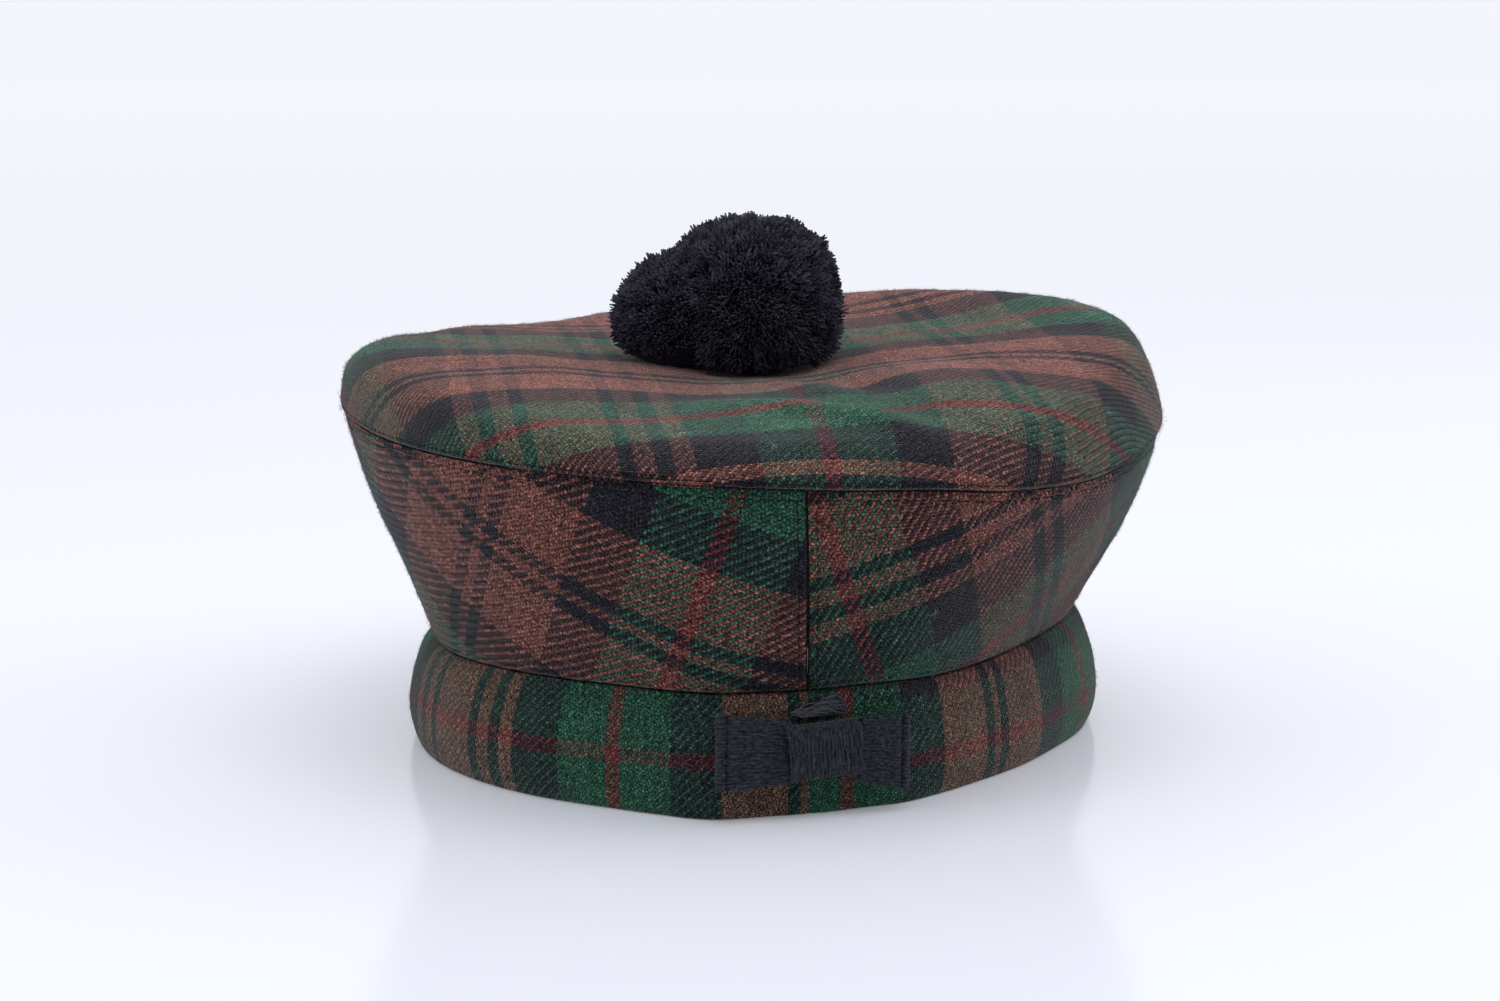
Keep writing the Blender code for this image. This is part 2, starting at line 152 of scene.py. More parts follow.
# The crown's seam, roll and top: seam is a share of PANEL_RISE, roll and plateau are shares of ROLL_RISE,
# and the insets are shares of ROLL_DEPTH.
CrownRow = namedtuple("CrownRow", "azimuth seam belly roll shoulder_in ridge_in plateau")
CROWN_ROWS = (
    CrownRow(-150, 1.067, 0.3, 0.73, 0.27, 0.86, 0.92),
    CrownRow(-120, 1.083, 0.5, 0.76, 0.18, 0.78, 0.98),
    CrownRow(-90, 1.072, 0.6, 0.91, 0.11, 0.72, 1.02),
    CrownRow(-60, 1.033, 0.4, 0.79, 0.25, 0.84, 0.94),
    CrownRow(-30, 1.000, 0.2, 0.57, 0.38, 0.88, 0.73),
    CrownRow(0, 0.960, 0.3, 0.64, 0.40, 0.88, 0.74),
    CrownRow(14, 0.937, 0.4, 0.75, 0.39, 0.88, 0.80),
    CrownRow(25, 0.900, 0.4, 0.89, 0.38, 0.88, 0.88),
    CrownRow(42, 0.886, 0.5, 1.00, 0.38, 0.88, 0.97),
    CrownRow(60, 0.945, 1.0, 1.08, 0.33, 0.88, 1.04),
    CrownRow(75, 0.972, 1.3, 1.28, 0.22, 0.80, 1.09),
    CrownRow(90, 0.998, 1.4, 1.42, 0.13, 0.72, 1.12),
    CrownRow(120, 1.025, 1.0, 1.40, 0.17, 0.76, 1.10),
    CrownRow(150, 1.042, 0.5, 1.18, 0.20, 0.80, 1.02),
    CrownRow(180, 1.055, 0.4, 0.96, 0.25, 0.86, 0.94),
)
FLANK_UP = 0.20
SHOULDER_UP = 0.74
PLATEAU_REACH = 0.62
HOLLOW_REACH = 0.34
HOLLOW_SHARE = 0.60

# Soft folds of the crown: height is a share of FOLD_HEIGHT, the others are shares of SEAM_RADIUS.
FoldRow = namedtuple("FoldRow", "azimuth reach height along across")
FOLD_ROWS = (
    FoldRow(8, 0.80, 0.3, 0.06, 0.16),
    FoldRow(24, 0.50, 0.2, 0.18, 0.14),
    FoldRow(-34, 0.60, -0.2, 0.20, 0.14),
)

# Smaller folds, left to the cloth: soft swells round the roll
SMALL_FOLD_ROWS = (
    FoldRow(33, 0.74, 0.22, 0.10, 0.16),
    FoldRow(4, 0.66, 0.22, 0.07, 0.12),
    FoldRow(-14, 0.74, -0.20, 0.07, 0.20),
    FoldRow(-46, 0.78, 0.20, 0.10, 0.12),
    FoldRow(62, 0.62, -0.30, 0.16, 0.12),
    FoldRow(-72, 0.55, 0.20, 0.14, 0.10),
    FoldRow(110, 0.70, -0.22, 0.12, 0.16),
    FoldRow(150, 0.60, 0.24, 0.14, 0.14),
    FoldRow(-150, 0.72, -0.22, 0.12, 0.16),
    FoldRow(-112, 0.66, -0.20, 0.10, 0.14),
)

# Creases beside the pompom, each at a place to the right and back of the centre: ridges have a height
# over 0 and troughs one under it
Crease = namedtuple("Crease", "right back turn length width height")
CREASES = (
    Crease(0.008, -0.088, -33, 0.024, 0.006, 0.0023),
    Crease(0.013, -0.076, -33, 0.024, 0.008, -0.0018),
    Crease(0.009, -0.053, -71, 0.022, 0.007, 0.0016),
    Crease(0.021, -0.055, -71, 0.024, 0.008, -0.0023),
)

# How finely the cloth is meshed, and how far the steps are drawn together towards the seams
CROWN_COLUMNS = 400
CROWN_STEPS = 96
PANEL_COLUMNS = 240
PANEL_STEPS = 60
BAND_COLUMNS = 480
BAND_STEPS = 52
LOOP_STEPS = 84
LOOP_ROWS = 120
LIP_STEPS = 16
KNOT_STEPS = 150
KNOT_ROWS = 120
TAIL_STEPS = 96
TAIL_ROWS = 24
SEAM_CROWDING = 0.8
ROLL_CROWDING = 1.5

# Seams: how deep the cloth turns in along them, over what width, and how much lies in the seam's shadow
SEAM_SINK = 0.0008
SEAM_ROUND = 0.0011
SEAM_DARK = 0.00025

# Topstitching beside the seams: its groove, and the stitches of dark thread that lie in it
STITCH_OFFSET = 0.0025
GROOVE_DEPTH = 0.00038
GROOVE_ROUND = 0.00055
STITCH_PITCH = 0.0026
STITCH_LENGTH = 0.0020
STITCH_RADIUS = 0.00019
STITCH_WANDER = 0.06
STITCH_STAND = 0.1
STITCHES_FROM = 0.02

# Waves left in the cloth by wear and steam: height and length of the broad and the small ones
WAVE_HEIGHT = 0.0008
WAVE_LENGTH = 0.028
RIPPLE_HEIGHT = 0.00012
RIPPLE_LENGTH = 0.008
HELD_BY_SEAM = 0.007

# Loose fibres that stand out of the cloth in small patches
FIBRE_LENGTH = 0.0016
FIBRE_RADIUS = 0.00005
FIBRE_PATCH = 0.0020
FIBRES_A_PATCH = 8
PATCH_KINDS = 5
PATCHES_ON_CROWN = 3400
PATCHES_ON_PANEL = 1300
PATCHES_ON_BAND = 1400
PATCHES_ON_RIBBON = 60
FIBRE_LEAN = (25, 78)
SHORTEST = 0.4
THREAD_TAPER = 0.6

# Pale lint: azimuth and share of the way up the panels, azimuth and reach from the crown's centre
LINT_LENGTH = 0.0034
LINT_RADIUS = 0.00005
LINT_CURL = 0.7
LINT_ON_PANELS = (
    (-58, 0.05), (-7, 0.07), (19, 0.38), (-28, 0.93), (26, 0.94), (140, 0.6), (-130, 0.4)
)
LINT_ON_CROWN = (
    (-6, 0.110), (51, 0.1165), (47, 0.130), (19, 0.1185), (-22, 0.060), (-170, 0.100), (120, 0.09)
)

# How far the nap is raised, from 0 to 1: on upright cloth, the handled band, the top and in worn patches. The
# top's share also paints on sheen: cloth is lighter the more it faces up.
NAP_SIDE = 0.04
NAP_BAND = 0.22
TOP_NAP_AND_SHEEN = 0.66
NAP_WORN = 0.14
NAP_PATCH = 0.014
NAP_LEVEL = 5

# The side panels laid out flat: the cut's radii at waist and seam, and its turn for each degree
CUT_WAIST = 0.259
CUT_SEAM = 0.321
CUT_MIDDLE = 0.290
CUT_TURN = 0.375

# The tartan: half its repeat from the broad pivot to the narrow one, stripe widths in millimetres
Stripe = namedtuple("Stripe", "thread width")
SETT = (
    Stripe("rust", 8.85),
    Stripe("black", 4.2),
    Stripe("rust", 4.7),
    Stripe("black", 4.2),
    Stripe("rust", 4.9),
    Stripe("black", 15.5),
    Stripe("green", 14.4),
    Stripe("red", 4.4),
    Stripe("green", 14.4),
    Stripe("black", 14.5),
    Stripe("rust", 18.0),
    Stripe("black", 3.3),
    Stripe("rust", 1.7),
)
HALF_SETT = sum(stripe.width for stripe in SETT) / 1000
THREADS = {
    "rust": (0.140, 0.053, 0.042),
    "black": (0.0110, 0.0105, 0.0160),
    "green": (0.0175, 0.0640, 0.0400),
    "red": (0.102, 0.025, 0.024),
}
YARN_PITCH = 0.0007

# Twill: how its threads wander (grains to the metre, reach), how round the yarns stand, how far stray fibres
# and the warp's lead decide which yarn shows, and how sharply one gives way to the other
WANDERS = ((45, 0.0012), (500, 0.00045), (2600, 0.00022))
YARN_ROUND = 0.6
WEFT_PHASE = -3.0
STRAY_GRAIN = 1400
STRAY_LEAD = (3.2, -1.6)
WARP_LEAD = (1.3, -0.3)
GIVE_WAY = 0.35
WARP_SHOWS = 0.22
BAND_WARP_SHOWS = 0.72

# Shades within the wool: the spread and the least of a yarn, a float, the nap with its painted sheen, worn
# patches, clots and flecks
YARN_SHADE = (0.35, 0.82)
FLOAT_SHADE = (0.9, 0.55)
NAP_SHEEN_SHADE = (1.35, 0.75)
PATCH_SHADE = (0.5, 0.75)
CLOT_SHADE = (1.0, 0.5)
FLECK_SHADE = (1.6, 0.2)
# Painted shade in the hollows between the yarns and painted highlight on their crowns (from the yarn's
# height), then the fibres' random mottling
PAINTED_HOLLOW_SHADE = (0.35, 1.45, 0.10, 1.45)
MOTTLED_SHADE = (0.30, 0.70, 0.10, 2.05)
FUZZ_GRAIN = 1500
PATCH_GRAIN = 70
CLOT_GRAIN = 560
FUZZ_HEIGHT = 1.1
WOOL_RELIEF = 0.00020
PALE_ENDS = (0.60, 0.78, 0.0, 0.55)
PALE_END = (0.110, 0.100, 0.098, 1)

# How each piece was cut: its turn in degrees from the grain, its stretch, and its middle's place from a pivot
Lay = namedtuple("Lay", "turn stretch_across stretch_along across along")
RIGHT_PANEL_LAY = Lay(54.1, 0.870, 0.870, 0.1679, -0.1029)
LEFT_PANEL_LAY = Lay(-48.2, 0.857, 0.857, -0.1586, -0.1645)
RIGHT_BAND_LAY = Lay(0, 1, 1, 0.0477, 0.0468)
LEFT_BAND_LAY = Lay(0, 1, 1, 0.1139, 0.0427)
CROWN_LAY = Lay(0, 0.916, 0.986, 0.0561, 0.1403)

# Where steaming drew the crown's cloth: the place to the right and back of its centre, the spread, the draw
Draw = namedtuple("Draw", "right back spread across along")
CROWN_DRAWS = (
    Draw(0.076, -0.096, 0.022, -0.006, 0),
    Draw(-0.113, -0.022, 0.049, 0, 0.017),
    Draw(0.112, -0.006, 0.038, 0, 0.020),
    Draw(0.105, -0.047, 0.025, 0, 0.0105),
    Draw(0.025, -0.062, 0.020, 0, 0.005),
)

# The pompom's cut yarn: its ends, the strands that they open into, and how ragged they stand
TUFTS_ROUND_MAIN = 2450
TUFT_LENGTH = 0.0052
TUFT_WIDTH = 0.00155
TUFT_RAGGED = 0.00050
TUFT_SHORT = 0.0002
TUFT_SCATTER = 0.016
TUFT_LEAN = 0.20
TUFT_CLEAR = 0.0012
YARN_ENDS = 6
STRANDS = 7
STRAND_WIDTH = 0.00066
STRAND_RAGGED = 0.20
STRAND_TURN = 0.4
STRAND_SPREAD = (0.45, 0.95)
STRAND_LEAN = 1.3
STRAND_TIP = 0.42
STRAND_FOOT = 0.25
CLUMP_HEIGHT = 0.0016
CORE_DEPTH = 0.0044
MAIN_SQUARE = 0.070
LOBE_UNDERCUT = 0.27
POMPOM_DARK = (0.0160, 0.0150, 0.0300, 1)
POMPOM_LIGHT = (0.0640, 0.0610, 0.0840, 1)
CURL_GRAIN = 900
CURL_SHADE = (3.0, -0.4)

# The bow's ribbon: ribs woven across its back and forth, the rolled lip at each loop's end and its flare
RIB_PITCH = 0.00098
RIB_HEIGHT = 0.00019
RIB_WANDER = 0.0005
BOW_TILT = -2.8
KNOT_TILT = 2.4
BOW_DROP = 0.0011
KNOT_DRAWN_HEIGHT = 0.0145
KNOT_DRAWN_LEFT = 0.0015
LIP_WIDTH = 0.0026
LIP_GROOVE = 0.0009
LIP_GROOVE_WIDTH = 0.00042
LEFT_FLARE = (0.0081, 0.0100)
RIGHT_FLARE = (0.0082, 0.0099)
LEFT_DROOP = 0
RIGHT_DROOP = 0.0014
VISIBLE_PINCH_SHARE = 0.06
LOOP_WAVER = 0.00035
LOOP_SAG = 0.0004
KNOT_LIP = 0.0002
KNOT_LIP_WIDTH = 0.0006
KNOT_WAVER = 0.0003
RIBBON_DARK = (0.0040, 0.0046, 0.0075, 1)
RIBBON_LIGHT = (0.0465, 0.0520, 0.0690, 1)
RIBBON_PALE = (0.13, 0.14, 0.16)
RIBBON_GRAIN = 1500
RIBBON_MOTTLE = (0.38, 0.66)
RIBBON_ENDS = (0.60, 0.78, 0.0, 0.5)
RIBBON_RELIEF = 0.0001

# The bow's frayed tail: how high its torn left and right stand and where they part, its crumple,
# its loose threads, and those on the ribbon's edges
TAIL_LEFT = 0.38
TAIL_RIGHT = 0.88
TAIL_PARTS = 0.33
TAIL_STEEP = 18
TAIL_RAGGED = 0.25
TAIL_DRAWN_IN = 0.2
TAIL_CRUMPLE = 0.0013
TAIL_THREADS = 70
EDGE_THREADS = 90
EDGE_THREAD_LENGTH = 0.0018
EDGE_THREAD_RADIUS = 0.00007
TAIL_THREAD_RADIUS = 0.00017
EDGE_THREAD_LEAN = 0.7
EDGE_THREAD_CURL = 0.5

# The tail's loose threads: least and most of their start, length, rise and stand, mean and spread of the rest
THREAD_START = (-0.18, 0.62)
THREAD_REACH = (0.2, 0.45)
THREAD_RISE = (0.1, 0.95)
THREAD_SLOPE = (-0.12, 0.2)
THREAD_ARCH = (0.08, 0.12)
THREAD_STAND = (0.0004, 0.0014)
THREAD_THICK = (0.6, 1.2)

# The photograph's camera
CAMERA_PLACE = (-0.12544, -0.7901, 0.2135)
CAMERA_TILT = 79.63
CAMERA_TURN = -9
LENS = 65.664
SENSOR = 36

# The studio: a wide floor that glows faintly, and the light of the white tent and of its opening
FLOOR_REACH = 400
FLOOR_COLOUR = (0.76, 0.78, 0.86, 1)
FLOOR_ROUGHNESS = 0.16
FLOOR_IOR = 1.28
GLOW_COLOUR = (0.93, 0.95, 1, 1)
TENT_COLOUR = (0.955, 0.965, 1.0, 1)
FLOOR_GLOW = 0.145
TENT_LIGHT = 0.92
OPENING_LIGHT = 0.22
OPENING_EDGE = (-0.15, -0.85)
Softbox = namedtuple("Softbox", "name place size power")
SOFTBOXES = (
    Softbox("light_top", (0.1, -0.35, 1.2), 0.9, 4.4),
    Softbox("light_left", (-1.1, -0.3, 0.7), 0.7, 1.5),
    Softbox("light_right", (1.1, 0.0, 0.7), 0.7, 2),
)
LIT_PLACE = (0, 0, 0.1)


def smooth_run(start, leaving, end, arriving, t):
    """A smooth run from start to end, leaving and arriving with the given slopes."""
    return (
        start * (2 * t**3 - 3 * t**2 + 1)
        + leaving * (t**3 - 2 * t**2 + t)
        + end * (3 * t**2 - 2 * t**3)
        + arriving * (t**3 - t**2)
    )


def ring_value(rows, column, azimuth):
    """A table's column at any azimuth, smooth and closed round the hat."""
    count = len(rows)
    stations = [row.azimuth for row in rows]
    turned = (azimuth - stations[0]) % 360 + stations[0]
    low = bisect.bisect_right(stations, turned) - 1
    places = []
    values = []
    for i in range(low - 1, low + 3):
        places.append(stations[i % count] + 360 * (i // count))
        values.append(getattr(rows[i % count], column))
    start_slope = (values[2] - values[0]) / (places[2] - places[0])
    end_slope = (values[3] - values[1]) / (places[3] - places[1])
    span = places[2] - places[1]
    return smooth_run(values[1], start_slope * span, values[2], end_slope * span, (turned - places[1]) / span)


def curve_point(points, place):
    """The point at a share of the way along a smooth curve through the given points."""
    spans = len(points) - 1
    low = min(int(place * spans), spans - 1)
    a, b = points[low], points[low + 1]
    before = points[low - 1] if low > 0 else a * 2 - b
    after = points[low + 2] if low + 2 <= spans else b * 2 - a
    return smooth_run(a, (b - before) / 2, b, (after - a) / 2, place * spans - low)


def bell(distance, width):
    """1 at no distance, fading away over a width."""
    return math.exp(-((distance / width) ** 2))


def outward(azimuth):
    angle = math.radians(azimuth)
    return Vector((math.sin(angle), -math.cos(angle), 0))


def azimuth_of(place):
    return math.degrees(math.atan2(place.x, -place.y))


def placed(azimuth, section_point):
    """A (radius, height) section point turned to its azimuth."""
    radius, height = section_point
    return outward(azimuth) * radius + Vector((0, 0, height))


def crowded(share):
    """A share from 0 to 1 with its steps drawn together towards the ends that lie in seams."""
    return share - SEAM_CROWDING * math.sin(2 * math.pi * share) / (2 * math.pi)


@functools.lru_cache(maxsize=None)
def foot_radius(azimuth):
    return BAND_RADIUS * ring_value(BAND_ROWS, "foot", azimuth)


@functools.lru_cache(maxsize=None)
def waist(azimuth):
    """The seam between the headband and the side panels."""
    radius = foot_radius(azimuth) - BAND_TUCK * ring_value(BAND_ROWS, "tuck", azimuth)
    return Vector((radius, BAND_HEIGHT * ring_value(BAND_ROWS, "rise", azimuth)))


@functools.lru_cache(maxsize=None)
def crown_seam(azimuth):
    """The seam between the side panels and the crown."""
    height = BAND_HEIGHT + PANEL_RISE * ring_value(CROWN_ROWS, "seam", azimuth)
    return Vector((SEAM_RADIUS, height))


def band_point(azimuth, row, depth=0.0):
    """A point of the headband's section, depth being how far it lies inside the outer face."""
    top = waist(azimuth)
    foot = foot_radius(azimuth)
    swell = BAND_SWELL * row.swell * ring_value(BAND_ROWS, "swell", azimuth)
    radius = foot + (top.x - foot) * row.lean + swell - depth
    return Vector((radius, (top.y - SEWN_GAP / 2) * row.rise))


def crown_centre():
    return BAND_HEIGHT + PANEL_RISE + DISH_LIFT


def crown_knots(azimuth):
    """The points of the crown's section, from its seam over the roll and down into the dish."""
    seam = crown_seam(azimuth) + Vector((0, SEWN_GAP / 2))
    roll = ROLL_RISE * ring_value(CROWN_ROWS, "roll", azimuth)
    shoulder_in = ROLL_DEPTH * ring_value(CROWN_ROWS, "shoulder_in", azimuth)
    ridge_in = ROLL_DEPTH * ring_value(CROWN_ROWS, "ridge_in", azimuth)
    flank = seam + Vector((RIM_OVERHANG, roll * FLANK_UP))
    shoulder = seam + Vector((-shoulder_in, roll * SHOULDER_UP))
    ridge = seam + Vector((-ridge_in, roll))
    top = BAND_HEIGHT + PANEL_RISE + ROLL_RISE * ring_value(CROWN_ROWS, "plateau", azimuth)
    plateau = Vector((SEAM_RADIUS * PLATEAU_REACH, top))
    centre = Vector((0, crown_centre()))
    hollow_rise = (plateau.y - centre.y) * HOLLOW_SHARE
    hollow = Vector((SEAM_RADIUS * HOLLOW_REACH, centre.y + hollow_rise))
    return [seam, flank, shoulder, ridge, plateau, hollow, centre]


def fold_lift(place):
    """How far the crown's soft folds raise or lower it at a place seen from above."""
    lift = 0.0
    for row in FOLD_ROWS + SMALL_FOLD_ROWS:
        away = outward(row.azimuth)
        offset = Vector((place.x, place.y, 0)) - away * SEAM_RADIUS * row.reach
        along = offset.dot(away) / (SEAM_RADIUS * row.along)
        across = offset.cross(away).length / (SEAM_RADIUS * row.across)
        lift += FOLD_HEIGHT * row.height * math.exp(-(along**2) - across**2)
    for crease in CREASES:
        turn = math.radians(crease.turn)
        right, back = place.x - crease.right, place.y - crease.back
        along = (right * math.cos(turn) + back * math.sin(turn)) / crease.length
        across = (back * math.cos(turn) - right * math.sin(turn)) / crease.width
        lift += crease.height * math.exp(-(along**2) - across**2)
    return lift


def sink(distance):
    """How far cloth turns in at a distance from its seam, and under the topstitching beside it."""
    groove = GROOVE_DEPTH * bell(distance - STITCH_OFFSET, GROOVE_ROUND)
    return SEAM_SINK * bell(distance, SEAM_ROUND) + groove


def wave(place):
    """The worn cloth's small rise or fall at a place."""
    broad = noise.noise(place / WAVE_LENGTH)
    small = noise.noise(place / RIPPLE_LENGTH)
    return WAVE_HEIGHT * broad + RIPPLE_HEIGHT * small


def cut_from(lay, flat):
    """The place in the tartan of a point of a flat pattern."""
    turn = math.radians(lay.turn)
    across = flat[0] * math.cos(turn) + flat[1] * math.sin(turn)
    along = flat[1] * math.cos(turn) - flat[0] * math.sin(turn)
    return across * lay.stretch_across + lay.across, along * lay.stretch_along + lay.along


def cloth_grid(columns, rows, point_at, cloth_at, in_seam_shade=None):
    """A grid of cloth: point_at lays each corner (across, up), and cloth_at gives its place in the tartan.

    cloth_at also takes the side of the face that asks, so that a join has its own cloth on each side.
    The last says whether a face lies in a seam's shadow, where it takes the rims' near-black painted shade.
    """
    sheet = bmesh.new()
    bmesh.ops.create_grid(sheet, x_segments=columns, y_segments=rows, size=1)
    flat = sheet.loops.layers.uv.new("cloth")
    for face in sheet.faces:
        middle = face.calc_center_median()
        if in_seam_shade:
            face.material_index = int(in_seam_shade((middle.x + 1) / 2, (middle.y + 1) / 2))
        for loop in face.loops:
            across = (loop.vert.co.x + 1) / 2
            up = (loop.vert.co.y + 1) / 2
            loop[flat].uv = cloth_at(across, up, middle.x)
    for vertex in sheet.verts:
        vertex.co = point_at((vertex.co.x + 1) / 2, (vertex.co.y + 1) / 2)
    bmesh.ops.remove_doubles(sheet, verts=sheet.verts, dist=1e-6)
    bmesh.ops.dissolve_degenerate(sheet, edges=sheet.edges, dist=1e-6)
    return sheet


def looseness(place):
    """How free the cloth is to move at a place, from 0 in a seam or on the floor to 1 away from them."""
    azimuth = round(azimuth_of(place), 1)
    section = Vector((math.hypot(place.x, place.y), place.z))
    nearest = min((section - waist(azimuth)).length, (section - crown_seam(azimuth)).length, place.z)
    return min(1, nearest / HELD_BY_SEAM) ** 2


def add_waves(sheet, nap_side=NAP_SIDE):
    """Moves cloth along its own normals by the waves left in it, and marks where its nap is raised and, the
    more the cloth faces up, where sheen is painted on.
    """
    nap = sheet.verts.layers.float.new("nap")
    sheet.normal_update()
    for vertex in sheet.verts:
        worn = 0.5 + 0.5 * noise.noise(vertex.co / NAP_PATCH)
        # Upward-facing cloth gets a higher mark, which paints on the sheen of the light from above
        level = max(0, vertex.normal.z) ** NAP_LEVEL
        vertex[nap] = nap_side + (TOP_NAP_AND_SHEEN - nap_side) * level + NAP_WORN * worn
        vertex.co += vertex.normal * wave(vertex.co) * looseness(vertex.co)


def scatter(chance, spread):
    """A random step in any direction."""
    return Vector([chance.gauss(0, spread) for _ in range(3)])


def edge_order(edge):
    return edge.index


def add_thread(target, spots, radius):
    """A fine thread along the given spots, three-sided and tapering to its free end."""
    rings = []
    for number, spot in enumerate(spots):
        ahead = spots[min(number + 1, len(spots) - 1)]
        behind = spots[max(number - 1, 0)]
        turned = (ahead - behind).to_track_quat("Z", "Y").to_matrix().to_4x4()
        thin = radius * (1 - THREAD_TAPER * number / (len(spots) - 1))
        ring = bmesh.ops.create_circle(
            target, cap_ends=False, segments=3, radius=thin, matrix=Matrix.Translation(spot) @ turned
        )
        rings.append(sorted({edge for vertex in ring["verts"] for edge in vertex.link_edges}, key=edge_order))
    for first, second in zip(rings, rings[1:]):
        bmesh.ops.bridge_loops(target, edges=first + second)


def mesh_of(name, mesh_builder):
    mesh = bpy.data.meshes.new(name)
    mesh_builder.to_mesh(mesh)
    mesh_builder.free()
    return mesh


def in_scene(name, data):
    holder = bpy.data.objects.new(name, data)
    bpy.context.scene.collection.objects.link(holder)
    return holder


def trimming(name, mesh_builder, material):
    """A piece of the hat that stands beside its plain solids."""
    mesh = mesh_of(name, mesh_builder)
    mesh.shade_smooth()
    mesh.materials.append(material)
    piece = in_scene(name, mesh)
    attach(piece, "root")
    return piece


def finished(name, mesh_builder, material):
    """A piece that takes the place of the plain solid of its name, with the finish given."""
    piece = trimming(name + "_made", mesh_builder, material)
    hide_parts(name)
    return piece


def thicken(piece, wall, rim_finish):
    """Gives a sheet its thickness inwards, its rims taking the finish given: on the cloth a near-black
    painted shade for the shadow in the seams.
    """
    piece.data.materials.append(rim_finish)
    solidify = piece.modifiers.new("Wall", "SOLIDIFY")
    solidify.thickness = wall
    solidify.offset = -1
    solidify.use_even_offset = False
    solidify.material_offset_rim = 1
    return piece


@functools.lru_cache(maxsize=None)
def band_section(azimuth):
    """The strip's inner face from top to foot and its outer face from foot to top."""
    joins = math.radians(min(abs(azimuth), 180 - abs(azimuth))) * BAND_RADIUS
    turned_in = Vector((sink(joins), 0))
    outer = [band_point(azimuth, row) - turned_in for row in BAND_FACE]
    inner = [band_point(azimuth, row, BAND_WALL) for row in reversed(BAND_FACE)]
    return inner, outer


def band_azimuth(across):
    """Across 0 to 1 goes once round from the front join, with its steps drawn together at both joins."""
    half = math.floor(across * 2)
    return -180 + 180 * (half + crowded(across * 2 - half))


@functools.lru_cache(maxsize=None)
def band_arc(azimuth):
    """How far round the band a place is from the back join, measured along its middle."""
    steps = 60
    spots = []
    for step in range(steps + 1):
        turned = azimuth * step / steps
        spots.append(placed(turned, curve_point(band_section(turned)[1], 0.5)))
    arc = sum((after - before).length for before, after in zip(spots, spots[1:]))
    return math.copysign(arc, azimuth)


def headband(cloth, rim_finish):
    """The folded strip: down its inner face, round the fold at its foot and up its outer face."""

    def section_point(azimuth, up):
        inner, outer = band_section(azimuth)
        if up < BAND_FOLD_LOW:
            return curve_point(inner, up / BAND_FOLD_LOW * (1 - FOLD_SHARE))
        if up > BAND_FOLD_HIGH:
            risen = (up - BAND_FOLD_HIGH) / (1 - BAND_FOLD_HIGH)
            spot = curve_point(outer, FOLD_SHARE + risen * (1 - FOLD_SHARE))
            return spot - Vector((SEAM_SINK * bell(outer[-1].y - spot.y, SEAM_ROUND), 0))
        turn = math.pi * (up - BAND_FOLD_LOW) / (BAND_FOLD_HIGH - BAND_FOLD_LOW)
        low_inner = curve_point(inner, 1 - FOLD_SHARE)
        low_outer = curve_point(outer, FOLD_SHARE)
        middle = (low_inner + low_outer) / 2
        side = (low_outer - low_inner) / 2
        return middle - side * math.cos(turn) - Vector((0, middle.y)) * math.sin(turn)

    def point_at(across, up):
        azimuth = band_azimuth(across)
        return placed(azimuth, section_point(azimuth, up))

    def cloth_at(across, up, side):
        azimuth = band_azimuth(across)
        height = section_point(azimuth, up).y
        if up < (BAND_FOLD_LOW + BAND_FOLD_HIGH) / 2:
            height = -height
        lay = LEFT_BAND_LAY if side < 0 else RIGHT_BAND_LAY
        return cut_from(lay, (band_arc(azimuth), height))

    ring = cloth_grid(BAND_COLUMNS, BAND_STEPS, point_at, cloth_at)
    add_waves(ring, NAP_BAND)
    for vertex in ring.verts:
        vertex.co.z = max(vertex.co.z, 0)
    return thicken(finished("headband", ring, cloth), BAND_CLOTH, rim_finish)


def panel_point(azimuth, up, ends):
    """A point of a side panel's outer face; ends is how far it lies from the panel's nearer end seam."""
    low = waist(azimuth) + Vector((0, SEWN_GAP / 2))
    high = crown_seam(azimuth) - Vector((0, SEWN_GAP / 2))
    height = (high - low).length
    out = Vector((high.y - low.y, low.x - high.x)).normalized()
    belly = PANEL_BELLY * ring_value(CROWN_ROWS, "belly", azimuth) * math.sin(math.pi * up**BELLY_LIFT)
    turned_in = max(sink(up * height), sink((1 - up) * height), sink(ends))
    return placed(azimuth, low.lerp(high, up) + out * (belly - turned_in))


def panel_height(azimuth):
    return (crown_seam(azimuth) - waist(azimuth)).length


def side_panel(name, first_azimuth, last_azimuth, lay, cloth, rim_finish):
    """One of the two panels; its ends stop short of the seams so that the two don't touch."""
    gap = math.degrees(SEWN_GAP / 2 / BAND_RADIUS)
    turn = last_azimuth - first_azimuth
    width = math.radians(turn) * (BAND_RADIUS + SEAM_RADIUS) / 2
    middle = (first_azimuth + last_azimuth) / 2

    def azimuth_at(across, up):
        return first_azimuth + gap + (turn - 2 * gap) * crowded(across) + SEAM_TWIST * up

    def end_distance(across):
        return min(crowded(across), 1 - crowded(across)) * width

    def point_at(across, up):
        return panel_point(azimuth_at(across, crowded(up)), crowded(up), end_distance(across))

    def cloth_at(across, up, _):
        angle = math.radians(CUT_TURN * (azimuth_at(across, crowded(up)) - middle))
        radius = CUT_WAIST + (CUT_SEAM - CUT_WAIST) * crowded(up)
        return cut_from(lay, (radius * math.sin(angle), radius * math.cos(angle) - CUT_MIDDLE))

    # Faces within the seams' shadow take the near-black painted shade
    def in_seam_shade(across, up):
        height = panel_height(azimuth_at(across, crowded(up)))
        edge_distance = min(crowded(up), 1 - crowded(up)) * height
        return min(edge_distance, end_distance(across)) < SEAM_DARK

    panel = cloth_grid(PANEL_COLUMNS, PANEL_STEPS, point_at, cloth_at, in_seam_shade)
    add_waves(panel)
    return thicken(finished(name, panel, cloth), PANEL_WALL, rim_finish)


